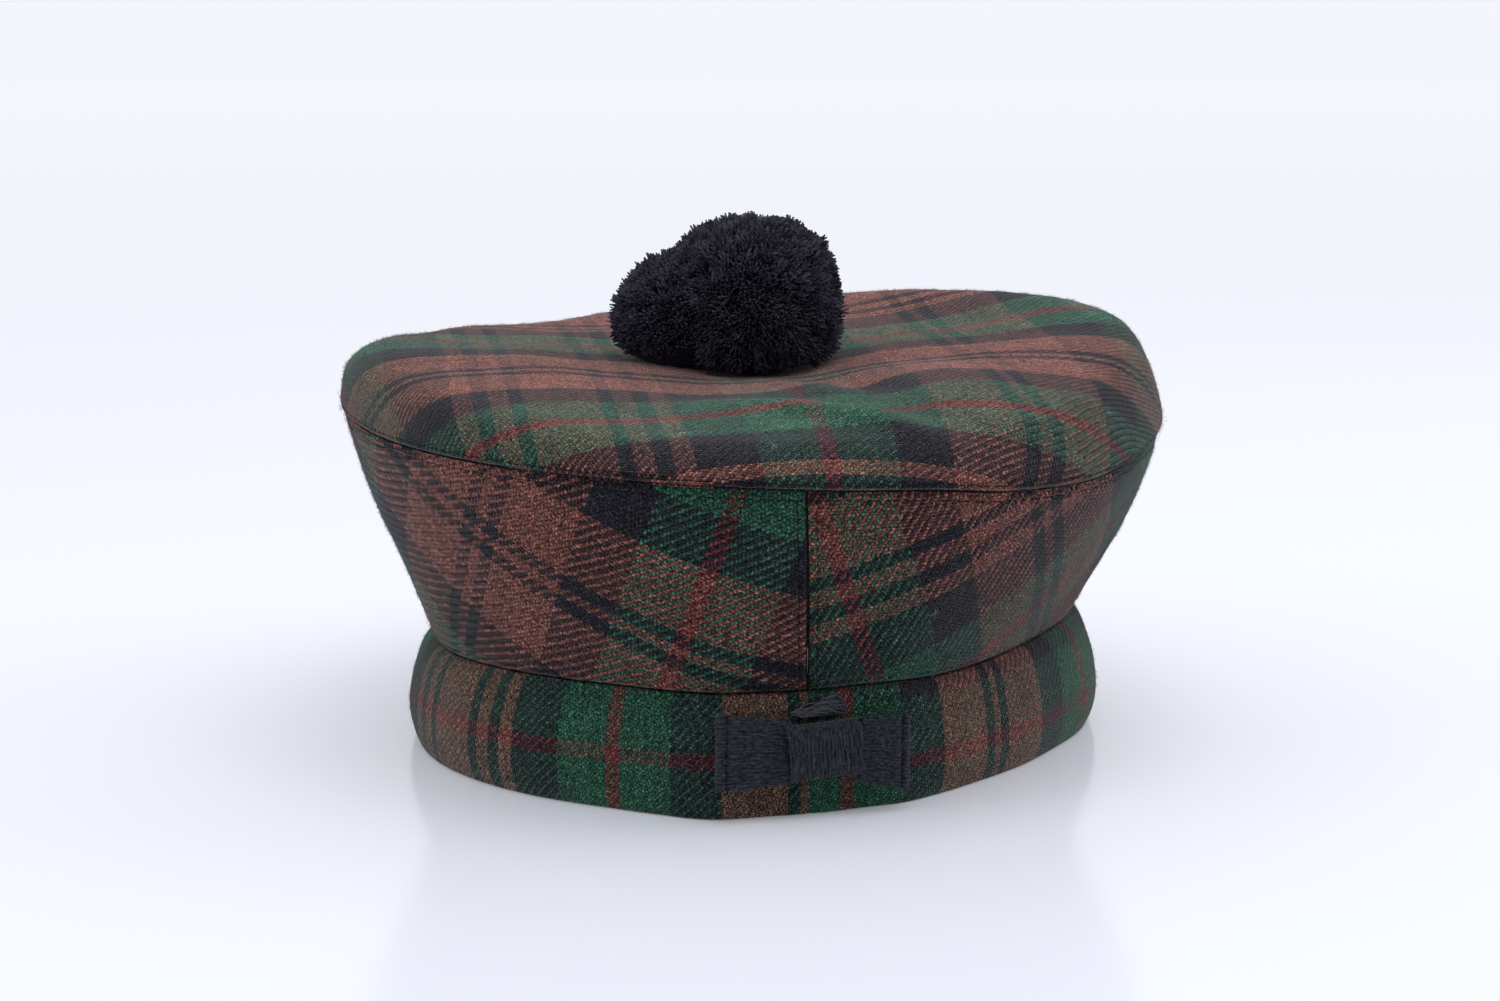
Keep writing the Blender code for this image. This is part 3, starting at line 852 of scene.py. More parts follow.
@functools.lru_cache(maxsize=None)
def crown_section(azimuth):
    """The crown's outer face from its seam to its centre, with the arc length up to each point."""
    knots = crown_knots(azimuth)
    points = [curve_point(knots, (i / CROWN_STEPS) ** ROLL_CROWDING) for i in range(CROWN_STEPS + 1)]
    arcs = [0.0]
    for before, after in zip(points, points[1:]):
        arcs.append(arcs[-1] + (after - before).length)
    sunk = []
    for i, point in enumerate(points):
        along = points[min(i + 1, CROWN_STEPS)] - points[max(i - 1, 0)]
        out = Vector((along.y, -along.x)).normalized()
        sunk.append(point - out * sink(arcs[i]))
    return sunk, arcs


def crown_top(cloth, rim_finish):
    """The round top with its roll at the rim and its dish, meshed in rings from its seam to its centre."""

    def azimuth_at(across):
        return -180 + 360 * across

    def point_at(across, up):
        azimuth = azimuth_at(across)
        spot = placed(azimuth, crown_section(azimuth)[0][round(up * CROWN_STEPS)])
        spot.z += fold_lift(spot)
        return spot

    def cloth_at(across, up, _):
        azimuth = azimuth_at(across)
        arcs = crown_section(azimuth)[1]
        place = outward(azimuth) * (arcs[-1] - arcs[round(up * CROWN_STEPS)])
        drawn = Vector(cut_from(CROWN_LAY, place))
        for draw in CROWN_DRAWS:
            offset = Vector((place.x - draw.right, place.y - draw.back))
            fade = math.exp(-offset.length_squared / draw.spread**2)
            drawn += Vector((draw.across, draw.along)) * fade
        return drawn

    # Faces within the seam's shadow take the near-black painted shade
    def in_seam_shade(across, up):
        arcs = crown_section(azimuth_at(across))[1]
        return arcs[math.ceil(up * CROWN_STEPS)] < SEAM_DARK

    disc = cloth_grid(CROWN_COLUMNS, CROWN_STEPS, point_at, cloth_at, in_seam_shade)
    add_waves(disc)
    return thicken(finished("crown_top", disc, cloth), CROWN_WALL, rim_finish)


def surface_of(piece):
    """The outer face of a piece of cloth, to be sewn or brushed."""
    corners = [vertex.co for vertex in piece.data.vertices]
    return BVHTree.FromPolygons(corners, [tuple(face.vertices) for face in piece.data.polygons])


def add_copy(target, base, turned):
    """Adds a copy of a small shape, turned and placed."""
    made = base.copy()
    made.transform(turned)
    target.from_mesh(made)
    bpy.data.meshes.remove(made)


def laid_copy(target, base, place, along, normal):
    """Adds a copy of a small shape, its length turned along and its top turned out of the cloth."""
    side = normal.cross(along).normalized()
    along = side.cross(normal).normalized()
    turned = Matrix((along, side, normal)).transposed().to_4x4()
    add_copy(target, base, Matrix.Translation(place) @ turned)


def sew_along(target, stitch, surface, spots, chance):
    """Stitches at an even pitch along a line of spots near the cloth."""
    travelled = 0.0
    due = 0.0
    for before, after in zip(spots, spots[1:]):
        travelled += (after - before).length
        if travelled < due:
            continue
        due += STITCH_PITCH
        place, normal, _, _ = surface.find_nearest(after)
        along = after - before + normal.cross(after - before) * chance.gauss(0, STITCH_WANDER)
        laid_copy(target, stitch, place + normal * STITCH_RADIUS * STITCH_STAND, along, normal)


def topstitching(crown, panels, thread):
    """The rows of stitches that hold the seams' allowances flat, on both sides of each seam."""
    chance = random.Random(5)
    base = bmesh.new()
    bmesh.ops.create_uvsphere(base, u_segments=8, v_segments=4, radius=1)
    size = Matrix.Diagonal((STITCH_LENGTH / 2, STITCH_RADIUS, STITCH_RADIUS, 1))
    bmesh.ops.transform(base, matrix=size, verts=base.verts)
    stitch = mesh_of("stitch", base)
    rows = bmesh.new()

    above = []
    for step in range(2 * 360 + 1):
        azimuth = step / 2 - 180
        points, arcs = crown_section(azimuth)
        above.append(placed(azimuth, points[bisect.bisect(arcs, STITCH_OFFSET)]))
    sew_along(rows, stitch, surface_of(crown), above, chance)
    for panel, first_azimuth in panels:
        surface = surface_of(panel)
        below = []
        for step in range(2 * 180 + 1):
            azimuth = first_azimuth + step / 2 + SEAM_TWIST
            below.append(panel_point(azimuth, 1 - STITCH_OFFSET / panel_height(azimuth), 1))
        sew_along(rows, stitch, surface, below, chance)
        for seam_azimuth, side in ((first_azimuth, 1), (first_azimuth + 180, -1)):
            beside = []
            for step in range(121):
                up = STITCHES_FROM + (1 - 2 * STITCHES_FROM) * step / 120
                radius = BAND_RADIUS + (SEAM_RADIUS - BAND_RADIUS) * up
                azimuth = seam_azimuth + SEAM_TWIST * up + side * math.degrees(STITCH_OFFSET / radius)
                beside.append(panel_point(azimuth, up, STITCH_OFFSET))
            sew_along(rows, stitch, surface, beside, chance)
    bpy.data.meshes.remove(stitch)
    return trimming("topstitching", rows, thread)


def fibre_patch(chance):
    """A few loose fibres of wool standing out of a small patch of cloth."""
    patch = bmesh.new()
    for _ in range(FIBRES_A_PATCH):
        length = chance.uniform(SHORTEST, 1.0) * FIBRE_LENGTH
        fibre = bmesh.ops.create_cone(
            patch, cap_ends=False, segments=3, radius1=FIBRE_RADIUS, radius2=0, depth=length,
            matrix=Matrix.Translation((0, 0, length * 0.45)),
        )
        lean = Matrix.Rotation(math.radians(chance.uniform(*FIBRE_LEAN)), 4, "X")
        turn = Matrix.Rotation(chance.uniform(0, math.tau), 4, "Z")
        spot = Vector((chance.uniform(-1, 1), chance.uniform(-1, 1), 0)) * FIBRE_PATCH
        bmesh.ops.transform(patch, matrix=Matrix.Translation(spot) @ turn @ lean, verts=fibre["verts"])
    return mesh_of("fibre_patch", patch)


def loose_fibres(name, pieces, wool):
    """The fine haze of fibres on cloth, seen against the light at its edges."""
    chance = random.Random(11)
    bases = [fibre_patch(chance) for _ in range(PATCH_KINDS)]
    haze = bmesh.new()
    for piece, patches in pieces:
        faces = piece.data.polygons
        chosen = chance.choices(range(len(faces)), weights=[face.area for face in faces], k=patches)
        for number in chosen:
            along = scatter(chance, 1)
            base = chance.choice(bases)
            if faces[number].center.z > FIBRE_LENGTH + 1.5 * FIBRE_PATCH:
                laid_copy(haze, base, faces[number].center, along, faces[number].normal)
    for base in bases:
        bpy.data.meshes.remove(base)
    return trimming(name, haze, wool)


def lint(crown, panels, wool):
    """Short pale threads that have settled on the cloth."""
    chance = random.Random(3)
    bits = bmesh.new()
    spots = []
    for azimuth, up in LINT_ON_PANELS:
        spots.append((panel_point(azimuth, up, 1), panels[0] if azimuth > 0 else panels[1]))
    for azimuth, reach in LINT_ON_CROWN:
        points, arcs = crown_section(azimuth)
        spots.append((placed(azimuth, points[bisect.bisect(arcs, arcs[-1] - reach)]), crown))
    surfaces = {piece: surface_of(piece) for piece in (crown, *panels)}
    for spot, piece in spots:
        for _ in range(chance.choice((1, 1, 2, 3))):
            place, normal, _, _ = surfaces[piece].find_nearest(spot)
            along = normal.orthogonal().normalized()
            along.rotate(Matrix.Rotation(chance.uniform(0, math.tau), 3, normal))
            side = normal.cross(along)
            length = chance.uniform(SHORTEST, 1.0) * LINT_LENGTH
            curl = chance.uniform(-LINT_CURL, LINT_CURL)
            path = []
            for step in range(6):
                share = step / 5 - 0.5
                offset = along * share * length + side * curl * length * share**2
                path.append(place + offset + normal * LINT_RADIUS * (1 + 3 * (0.25 - share**2)))
            add_thread(bits, path, LINT_RADIUS)
    return trimming("lint", bits, wool)


def dish_height(place):
    """The crown's upper surface over a place in the dish."""
    reach = math.hypot(place.x, place.y)
    section = crown_section(round(azimuth_of(place)))[0]
    height = section[-1].y
    for outer, inner in zip(section, section[1:]):
        if inner.x <= reach <= outer.x:
            share = (reach - inner.x) / max(outer.x - inner.x, 1e-9)
            height = inner.y + (outer.y - inner.y) * share
    return height + fold_lift(place)


def pompom_lobes():
    """The middle and radius of the main ball of yarn and of the lobe that leans out beside it."""
    main = Vector((0, 0, crown_centre() + POMPOM_LIFT))
    lean = outward(LOBE_AZIMUTH) * LOBE_OFFSET - Vector((0, 0, LOBE_DROP))
    return (main, POMPOM_RADIUS), (main + lean, LOBE_RADIUS)


def yarn_end(chance):
    """One cut end of yarn, opened into a few strands that stand on the origin."""
    end = bmesh.new()
    for number in range(STRANDS):
        turn = math.tau * number / STRANDS + chance.uniform(-STRAND_TURN, STRAND_TURN)
        spread = Vector((math.cos(turn), math.sin(turn), 0)) * chance.uniform(*STRAND_SPREAD)
        length = 1 - STRAND_RAGGED * chance.random()
        lean = (spread * TUFT_WIDTH / TUFT_LENGTH * STRAND_LEAN + Vector((0, 0, 1))).to_track_quat("Z", "Y")
        strand = bmesh.ops.create_cone(
            end, cap_ends=True, segments=3, radius1=0.5, radius2=STRAND_TIP, depth=1,
            matrix=Matrix.Translation((0, 0, 0.5)),
        )
        size = Matrix.Diagonal((STRAND_WIDTH, STRAND_WIDTH, length * TUFT_LENGTH, 1))
        place = Matrix.Translation(spread * TUFT_WIDTH * STRAND_FOOT)
        bmesh.ops.transform(end, matrix=place @ lean.to_matrix().to_4x4() @ size, verts=strand["verts"])
    hidden = [face for face in end.faces if face.calc_center_median().z < TUFT_LENGTH * 0.02]
    bmesh.ops.delete(end, geom=hidden, context="FACES_ONLY")
    return mesh_of("yarn_end", end)


def pompom(wool):
    """Two lobes of wound yarn with every cut end standing out from them."""
    chance = random.Random(7)
    lobes = pompom_lobes()
    ball = bmesh.new()
    shade = ball.verts.layers.float.new("shade")
    for middle, radius in lobes:
        core = bmesh.ops.create_icosphere(ball, subdivisions=4, radius=radius - CORE_DEPTH)
        for vertex in core["verts"]:
            vertex.co += middle
            vertex.co.z = max(vertex.co.z, dish_height(vertex.co) + SEAM_GAP)
    ends = [yarn_end(chance) for _ in range(YARN_ENDS)]
    for number, (middle, radius) in enumerate(lobes):
        other, other_radius = lobes[1 - number]
        tufts = round(TUFTS_ROUND_MAIN * (radius / POMPOM_RADIUS) ** 2)
        for i in range(tufts):
            height = 1 - 2 * (i + 0.5) / tufts
            turn = i * math.pi * (3 - math.sqrt(5))
            flat = math.sqrt(1 - height**2)
            direction = Vector((flat * math.cos(turn), flat * math.sin(turn), height))
            direction += scatter(chance, TUFT_SCATTER)
            direction.normalize()
            clump = noise.noise(direction * 5 + middle * 90) * CLUMP_HEIGHT
            corners = 4 * (height * flat) ** 2
            if number == 0:
                clipped = radius * (1 + MAIN_SQUARE * corners)
            else:
                clipped = radius * (1 - LOBE_UNDERCUT * corners * (height < 0))
            reach = clipped + clump - TUFT_SHORT + chance.gauss(0, TUFT_RAGGED)
            lean = (direction + scatter(chance, TUFT_LEAN)).normalized()
            light = chance.random()
            spin = Matrix.Rotation(chance.uniform(0, math.tau), 4, "Z")
            tip = middle + direction * reach
            if (tip - other).length < other_radius - TUFT_LENGTH * 0.25:
                continue
            if tip.z < dish_height(tip) + TUFT_CLEAR:
                continue
            turned = lean.to_track_quat("Z", "Y").to_matrix().to_4x4()
            first = len(ball.verts)
            add_copy(ball, ends[i % len(ends)], Matrix.Translation(tip - lean * TUFT_LENGTH) @ turned @ spin)
            ball.verts.ensure_lookup_table()
            for vertex in ball.verts[first:]:
                vertex[shade] = light
    for end in ends:
        bpy.data.meshes.remove(end)
    return finished("pompom", ball, wool)


def flat_point(azimuth, rise):
    """A point of the band's outer face, rise being its share of the way up the strip."""
    places = [row.rise for row in BAND_FACE]
    high = next(i for i in range(1, len(places)) if rise <= places[i])
    share = (rise - places[high - 1]) / (places[high] - places[high - 1])
    low_point = band_point(azimuth, BAND_FACE[high - 1])
    high_point = band_point(azimuth, BAND_FACE[high])
    return placed(azimuth, low_point.lerp(high_point, share))


@functools.lru_cache(maxsize=None)
def bow_frame():
    """The bow's place on the band: its middle, its way to the right, its way up and its way out."""
    right = (flat_point(FLAT_RIGHT, 0) - flat_point(FLAT_LEFT, 0)).normalized()
    low = (flat_point(FLAT_LEFT, BOW_FOOT) + flat_point(FLAT_RIGHT, BOW_FOOT)) / 2
    high = (flat_point(FLAT_LEFT, BOW_HEAD) + flat_point(FLAT_RIGHT, BOW_HEAD)) / 2
    out = right.cross(high - low).normalized()
    up = out.cross(right)
    middle = low + up * ((BOW_HEIGHT - low.z) / up.z)
    reach = RIBBON_WIDTH * 0.6
    stands = [0.0]
    for azimuth in range(FLAT_LEFT, FLAT_RIGHT + 1):
        for step in range(41):
            offset = flat_point(azimuth, step / 40) - middle
            if abs(offset.dot(up)) < reach:
                stands.append(offset.dot(out))
    return middle + out * (max(stands) + SEAM_GAP), right, up, out


def tilted_bow(tilt=BOW_TILT):
    """The bow's place as it was sewn on, turned a little and lower."""
    middle, right, up, out = bow_frame()
    turn = Matrix.Rotation(math.radians(tilt), 3, out)
    return middle - up * BOW_DROP, turn @ right, turn @ up, out


def knot_depth():
    """From the middle of the ribbon layers under the knot to the knot's outer face."""
    return PINCHED_FULLNESS / 2 + SEAM_GAP + RIBBON_WALL


def loop_path(start, knot_edge, end):
    """A flat loop seen from above: out from under the knot, round its rolled lip and back again.

    Each step holds its reach, its depth, how far the ribbon has opened to its full width, and its way out.
    """
    turn = LOOP_FULLNESS / 2
    steps = [(start, 0.0)]
    for step in range(LOOP_STEPS + 1):
        share = step / LOOP_STEPS
        opened = math.sin(min(1, share / VISIBLE_PINCH_SHARE) * math.pi / 2)
        steps.append((knot_edge + (end - turn - knot_edge) * share, opened))
    back = []
    front = []
    for reach, opened in steps:
        middle = knot_depth() + (turn - knot_depth()) * opened
        spread = PINCHED_FULLNESS / 2 + (turn - PINCHED_FULLNESS / 2) * opened
        groove = LIP_GROOVE * bell(reach - end + LIP_WIDTH, LIP_GROOVE_WIDTH)
        back.append((reach, middle - spread, opened, -1))
        front.append((reach, middle + spread - groove, opened, 1))
    fold = []
    for step in range(1, LIP_STEPS):
        angle = math.pi * step / LIP_STEPS
        place = end - turn + turn * math.sin(angle)
        fold.append((place, turn - turn * math.cos(angle), 1.0, -math.cos(angle)))
    return back + fold + front[::-1]


def rib(across, along):
    """The rise of the ribbon's ribs at a place, which wander and swell a little."""
    wander = noise.noise(Vector((along / 0.006, across / 0.004, 3.1))) * RIB_WANDER
    swell = 0.75 + 0.5 * noise.noise(Vector((along / 0.003, across / 0.0012, 8.7)))
    return RIB_HEIGHT * swell * math.sin(math.tau * (across + wander) / RIB_PITCH)


def bow_loop(name, side, flare, droop, ribbon):
    """A flat loop of ribbon, out along the band, round its rolled lip and back under the knot."""
    middle, right, up, out = tilted_bow()
    knot_edge = KNOT_OFFSET * side + KNOT_WIDTH / 2
    end = BOW_SPAN / 2
    path = loop_path(KNOT_OFFSET * side + SEAM_GAP / 2, knot_edge, end)
    pinched = KNOT_DRAWN_HEIGHT / 2 - RIBBON_WALL - 4 * SEAM_GAP

    def point_at(across, upward):
        reach, depth, opened, facing = path[round(across * (len(path) - 1))]
        share = max(0, (reach - knot_edge) / (end - knot_edge))
        full = flare[0] + (flare[1] - flare[0]) * share
        half = pinched + (full - pinched) * opened
        place = half * (2 * upward - 1)
        edge = noise.noise(Vector((reach / 0.005, upward * 2, side))) * LOOP_WAVER
        sag = noise.noise(Vector((reach / 0.012, upward * 1.5, 5 * side))) * LOOP_SAG * opened
        raised = (rib(place, reach) + max(0, facing) * sag) * opened
        outwards = out * facing + right * side * math.sqrt(max(0, 1 - facing**2))
        height = place - droop * share + edge
        return middle + right * side * reach + up * height + out * depth + outwards * raised

    def cloth_at(across, upward, _):
        return (across * 0.05, upward * RIBBON_WIDTH)

    sheet = cloth_grid(len(path) - 1, LOOP_ROWS, point_at, cloth_at)
    if side > 0:
        bmesh.ops.reverse_faces(sheet, faces=sheet.faces)
    return thicken(finished(name, sheet, ribbon), RIBBON_WALL, ribbon)


def squared(value):
    """A circle's sine or cosine drawn out towards a square."""
    return math.copysign(abs(value) ** KNOT_SQUARENESS, value)


def bow_knot(ribbon):
    """The ribbon wound round the bow's middle, a flattened tube with both loops inside it."""
    middle, right, up, out = tilted_bow(KNOT_TILT)
    depth = knot_depth()
    centre = middle + right * KNOT_OFFSET + out * depth

    def point_at(across, around):
        angle = 2 * math.pi * round(around * KNOT_ROWS) / KNOT_ROWS
        bulge = 1 + KNOT_WAIST_SHARE * (2 * across - 1) ** 2
        high = squared(math.sin(angle))
        deep = squared(math.cos(angle))
        front = max(0, deep)
        lip = KNOT_LIP * bell(min(across, 1 - across) * KNOT_WIDTH, KNOT_LIP_WIDTH)
        raised = (rib(KNOT_WIDTH * across, KNOT_HEIGHT * around * 2) + lip) * front
        raised += KNOT_WAVER * front * noise.noise(Vector((across * 3, high * 1.5, 2.5)))
        return (
            centre
            + right * (KNOT_WIDTH * (across - 0.5) - KNOT_DRAWN_LEFT * (1 - across))
            + up * high * KNOT_DRAWN_HEIGHT / 2 * bulge
            + out * (deep * depth + raised)
        )

    def cloth_at(across, around, _):
        return (around * 0.04, across * KNOT_WIDTH)

    tube = cloth_grid(KNOT_STEPS, KNOT_ROWS, point_at, cloth_at)
    return thicken(finished("bow_knot", tube, ribbon), RIBBON_WALL, ribbon)


def bow_tail(ribbon):
    """The frayed ribbon end that stands on the band between the knot and the top seam, and its threads."""
    middle, right, _, _ = tilted_bow()
    knot_azimuth = azimuth_of(middle + right * KNOT_OFFSET)
    half = math.degrees(TAIL_WIDTH / 2 / BAND_RADIUS)
    knot_top = BOW_HEIGHT + KNOT_HEIGHT / 2 * (1 + KNOT_WAIST_SHARE) - SEAM_GAP
    chance = random.Random(23)

    def on_band(across, upward, stand):
        azimuth = knot_azimuth + half * (2 * across - 1)
        foot_share = knot_top / waist(azimuth).y
        foot = flat_point(azimuth, foot_share)
        head = flat_point(azimuth, TAIL_HEAD)
        rise = foot_share + (TAIL_HEAD - foot_share) * upward
        normal = right.cross(head - foot).normalized()
        return flat_point(azimuth, rise) + normal * (SEAM_GAP + TAIL_WALL + stand)

    def torn(across):
        step = 1 / (1 + math.exp(-TAIL_STEEP * (across - TAIL_PARTS)))
        ragged = 1 + TAIL_RAGGED * noise.noise(Vector((across * 9, 0, 4.2)))
        return (TAIL_LEFT + (TAIL_RIGHT - TAIL_LEFT) * step) * ragged

    def point_at(across, upward):
        drawn_in = 0.5 + (across - 0.5) * (1 - TAIL_DRAWN_IN * upward**2)
        crumple = TAIL_CRUMPLE * noise.noise(Vector((across * 4, upward * 5, 9.3)))
        stand = max(0, crumple) + rib(across * TAIL_WIDTH, 0) * 0.5
        return on_band(drawn_in, upward * torn(across), stand)

    def cloth_at(across, upward, _):
        return (upward * 0.008, across * TAIL_WIDTH)

    sheet = cloth_grid(TAIL_STEPS, TAIL_ROWS, point_at, cloth_at)
    threads = bmesh.new()
    for _ in range(TAIL_THREADS):
        start = chance.uniform(*THREAD_START)
        reach = chance.uniform(*THREAD_REACH)
        rise = chance.uniform(*THREAD_RISE) * torn(max(0, start))
        slope = chance.gauss(*THREAD_SLOPE)
        arch = chance.gauss(*THREAD_ARCH)
        stand = chance.uniform(*THREAD_STAND)
        spots = []
        for step in range(7):
            share = step / 6
            over = math.sin(math.pi * share)
            upward = min(max(rise + slope * share + arch * over, 0), 1.02)
            spots.append(on_band(start + reach * share, upward, 0.0008 + stand * over))
        add_thread(threads, spots, TAIL_THREAD_RADIUS * chance.uniform(*THREAD_THICK))
    return thicken(finished("bow_tail", sheet, ribbon), TAIL_WALL, ribbon), threads


def fray(threads, piece):
    """Short threads that have come loose along a ribbon's edges."""
    chance = random.Random(len(piece.name))
    cloth = bmesh.new()
    cloth.from_mesh(piece.data)
    edge = [vertex for vertex in cloth.verts if vertex.is_boundary]
    for _ in range(EDGE_THREADS):
        vertex = chance.choice(edge)
        way = (vertex.normal * 0.5 + scatter(chance, EDGE_THREAD_LEAN)).normalized()
        curl = scatter(chance, EDGE_THREAD_CURL)
        length = chance.uniform(0.3, 1) * EDGE_THREAD_LENGTH
        spots = []
        for step in range(5):
            share = step / 4
            spots.append(vertex.co + (way * share + curl * share**2) * length)
        add_thread(threads, spots, EDGE_THREAD_RADIUS)
    cloth.free()


def wire(tree, socket, value):
    """Links a socket to another node's output, or sets its value."""
    if isinstance(value, bpy.types.NodeSocket):
        tree.links.new(value, socket)
    else:
        socket.default_value = value


def maths_node(tree, operation, *values):
    node = tree.nodes.new("ShaderNodeMath")
    node.operation = operation
    for socket, value in zip(node.inputs, values):
        wire(tree, socket, value)
    return node.outputs[0]


def range_node(tree, value, from_low, from_high, to_low=0.0, to_high=1.0, smooth=False):
    """A value moved from one range to another and held at its ends."""
    node = tree.nodes.new("ShaderNodeMapRange")
    if smooth:
        node.interpolation_type = "SMOOTHSTEP"
    wire(tree, node.inputs["Value"], value)
    node.inputs["From Min"].default_value = from_low
    node.inputs["From Max"].default_value = from_high
    node.inputs["To Min"].default_value = to_low
    node.inputs["To Max"].default_value = to_high
    return node.outputs[0]


def noise_node(tree, place, grains, detail=2.0, roughness=0.5):
    """Noise of so many grains to the metre."""
    node = tree.nodes.new("ShaderNodeTexNoise")
    wire(tree, node.inputs["Vector"], place)
    node.inputs["Scale"].default_value = grains
    node.inputs["Detail"].default_value = detail
    node.inputs["Roughness"].default_value = roughness
    return node


def mix_colour(tree, factor, first, second):
    node = tree.nodes.new("ShaderNodeMix")
    node.data_type = "RGBA"
    wire(tree, node.inputs[0], factor)
    wire(tree, node.inputs[6], first)
    wire(tree, node.inputs[7], second)
    return node.outputs[2]


def scaled_colour(tree, colour, amount):
    node = tree.nodes.new("ShaderNodeVectorMath")
    node.operation = "SCALE"
    tree.links.new(colour, node.inputs[0])
    wire(tree, node.inputs["Scale"], amount)
    return node.outputs[0]


def sett_colour(tree, place):
    """The thread colour at a place across the sett, folded back and forth between its two pivots."""
    folded = maths_node(tree, "PINGPONG", place, HALF_SETT)
    share = maths_node(tree, "DIVIDE", folded, HALF_SETT)
    ramp = tree.nodes.new("ShaderNodeValToRGB")
    tree.links.new(share, ramp.inputs[0])
    ramp.color_ramp.interpolation = "CONSTANT"
    stops = ramp.color_ramp.elements
    start = 0.0
    for number, stripe in enumerate(SETT):
        stop = stops[number] if number < len(stops) else stops.new(start)
        stop.position = start
        stop.color = (*THREADS[stripe.thread], 1)
        start += stripe.width / 1000 / HALF_SETT
    return ramp.outputs[0]


def shaken(tree, place, grains, reach):
    """A place in the cloth moved about a little, as threads wander."""
    drift = noise_node(tree, place, grains, 1.0)
    node = tree.nodes.new("ShaderNodeVectorMath")
    node.operation = "MULTIPLY_ADD"
    tree.links.new(drift.outputs["Color"], node.inputs[0])
    node.inputs[1].default_value = (reach, reach, 0)
    tree.links.new(place, node.inputs[2])
    return node.outputs[0]


def chance_node(tree, first, second):
    """A fixed random value for each pair of whole numbers."""
    pair = tree.nodes.new("ShaderNodeCombineXYZ")
    wire(tree, pair.inputs[0], first)
    wire(tree, pair.inputs[1], second)
    node = tree.nodes.new("ShaderNodeTexWhiteNoise")
    node.noise_dimensions = "2D"
    tree.links.new(pair.outputs[0], node.inputs["Vector"])
    return node.outputs["Value"]


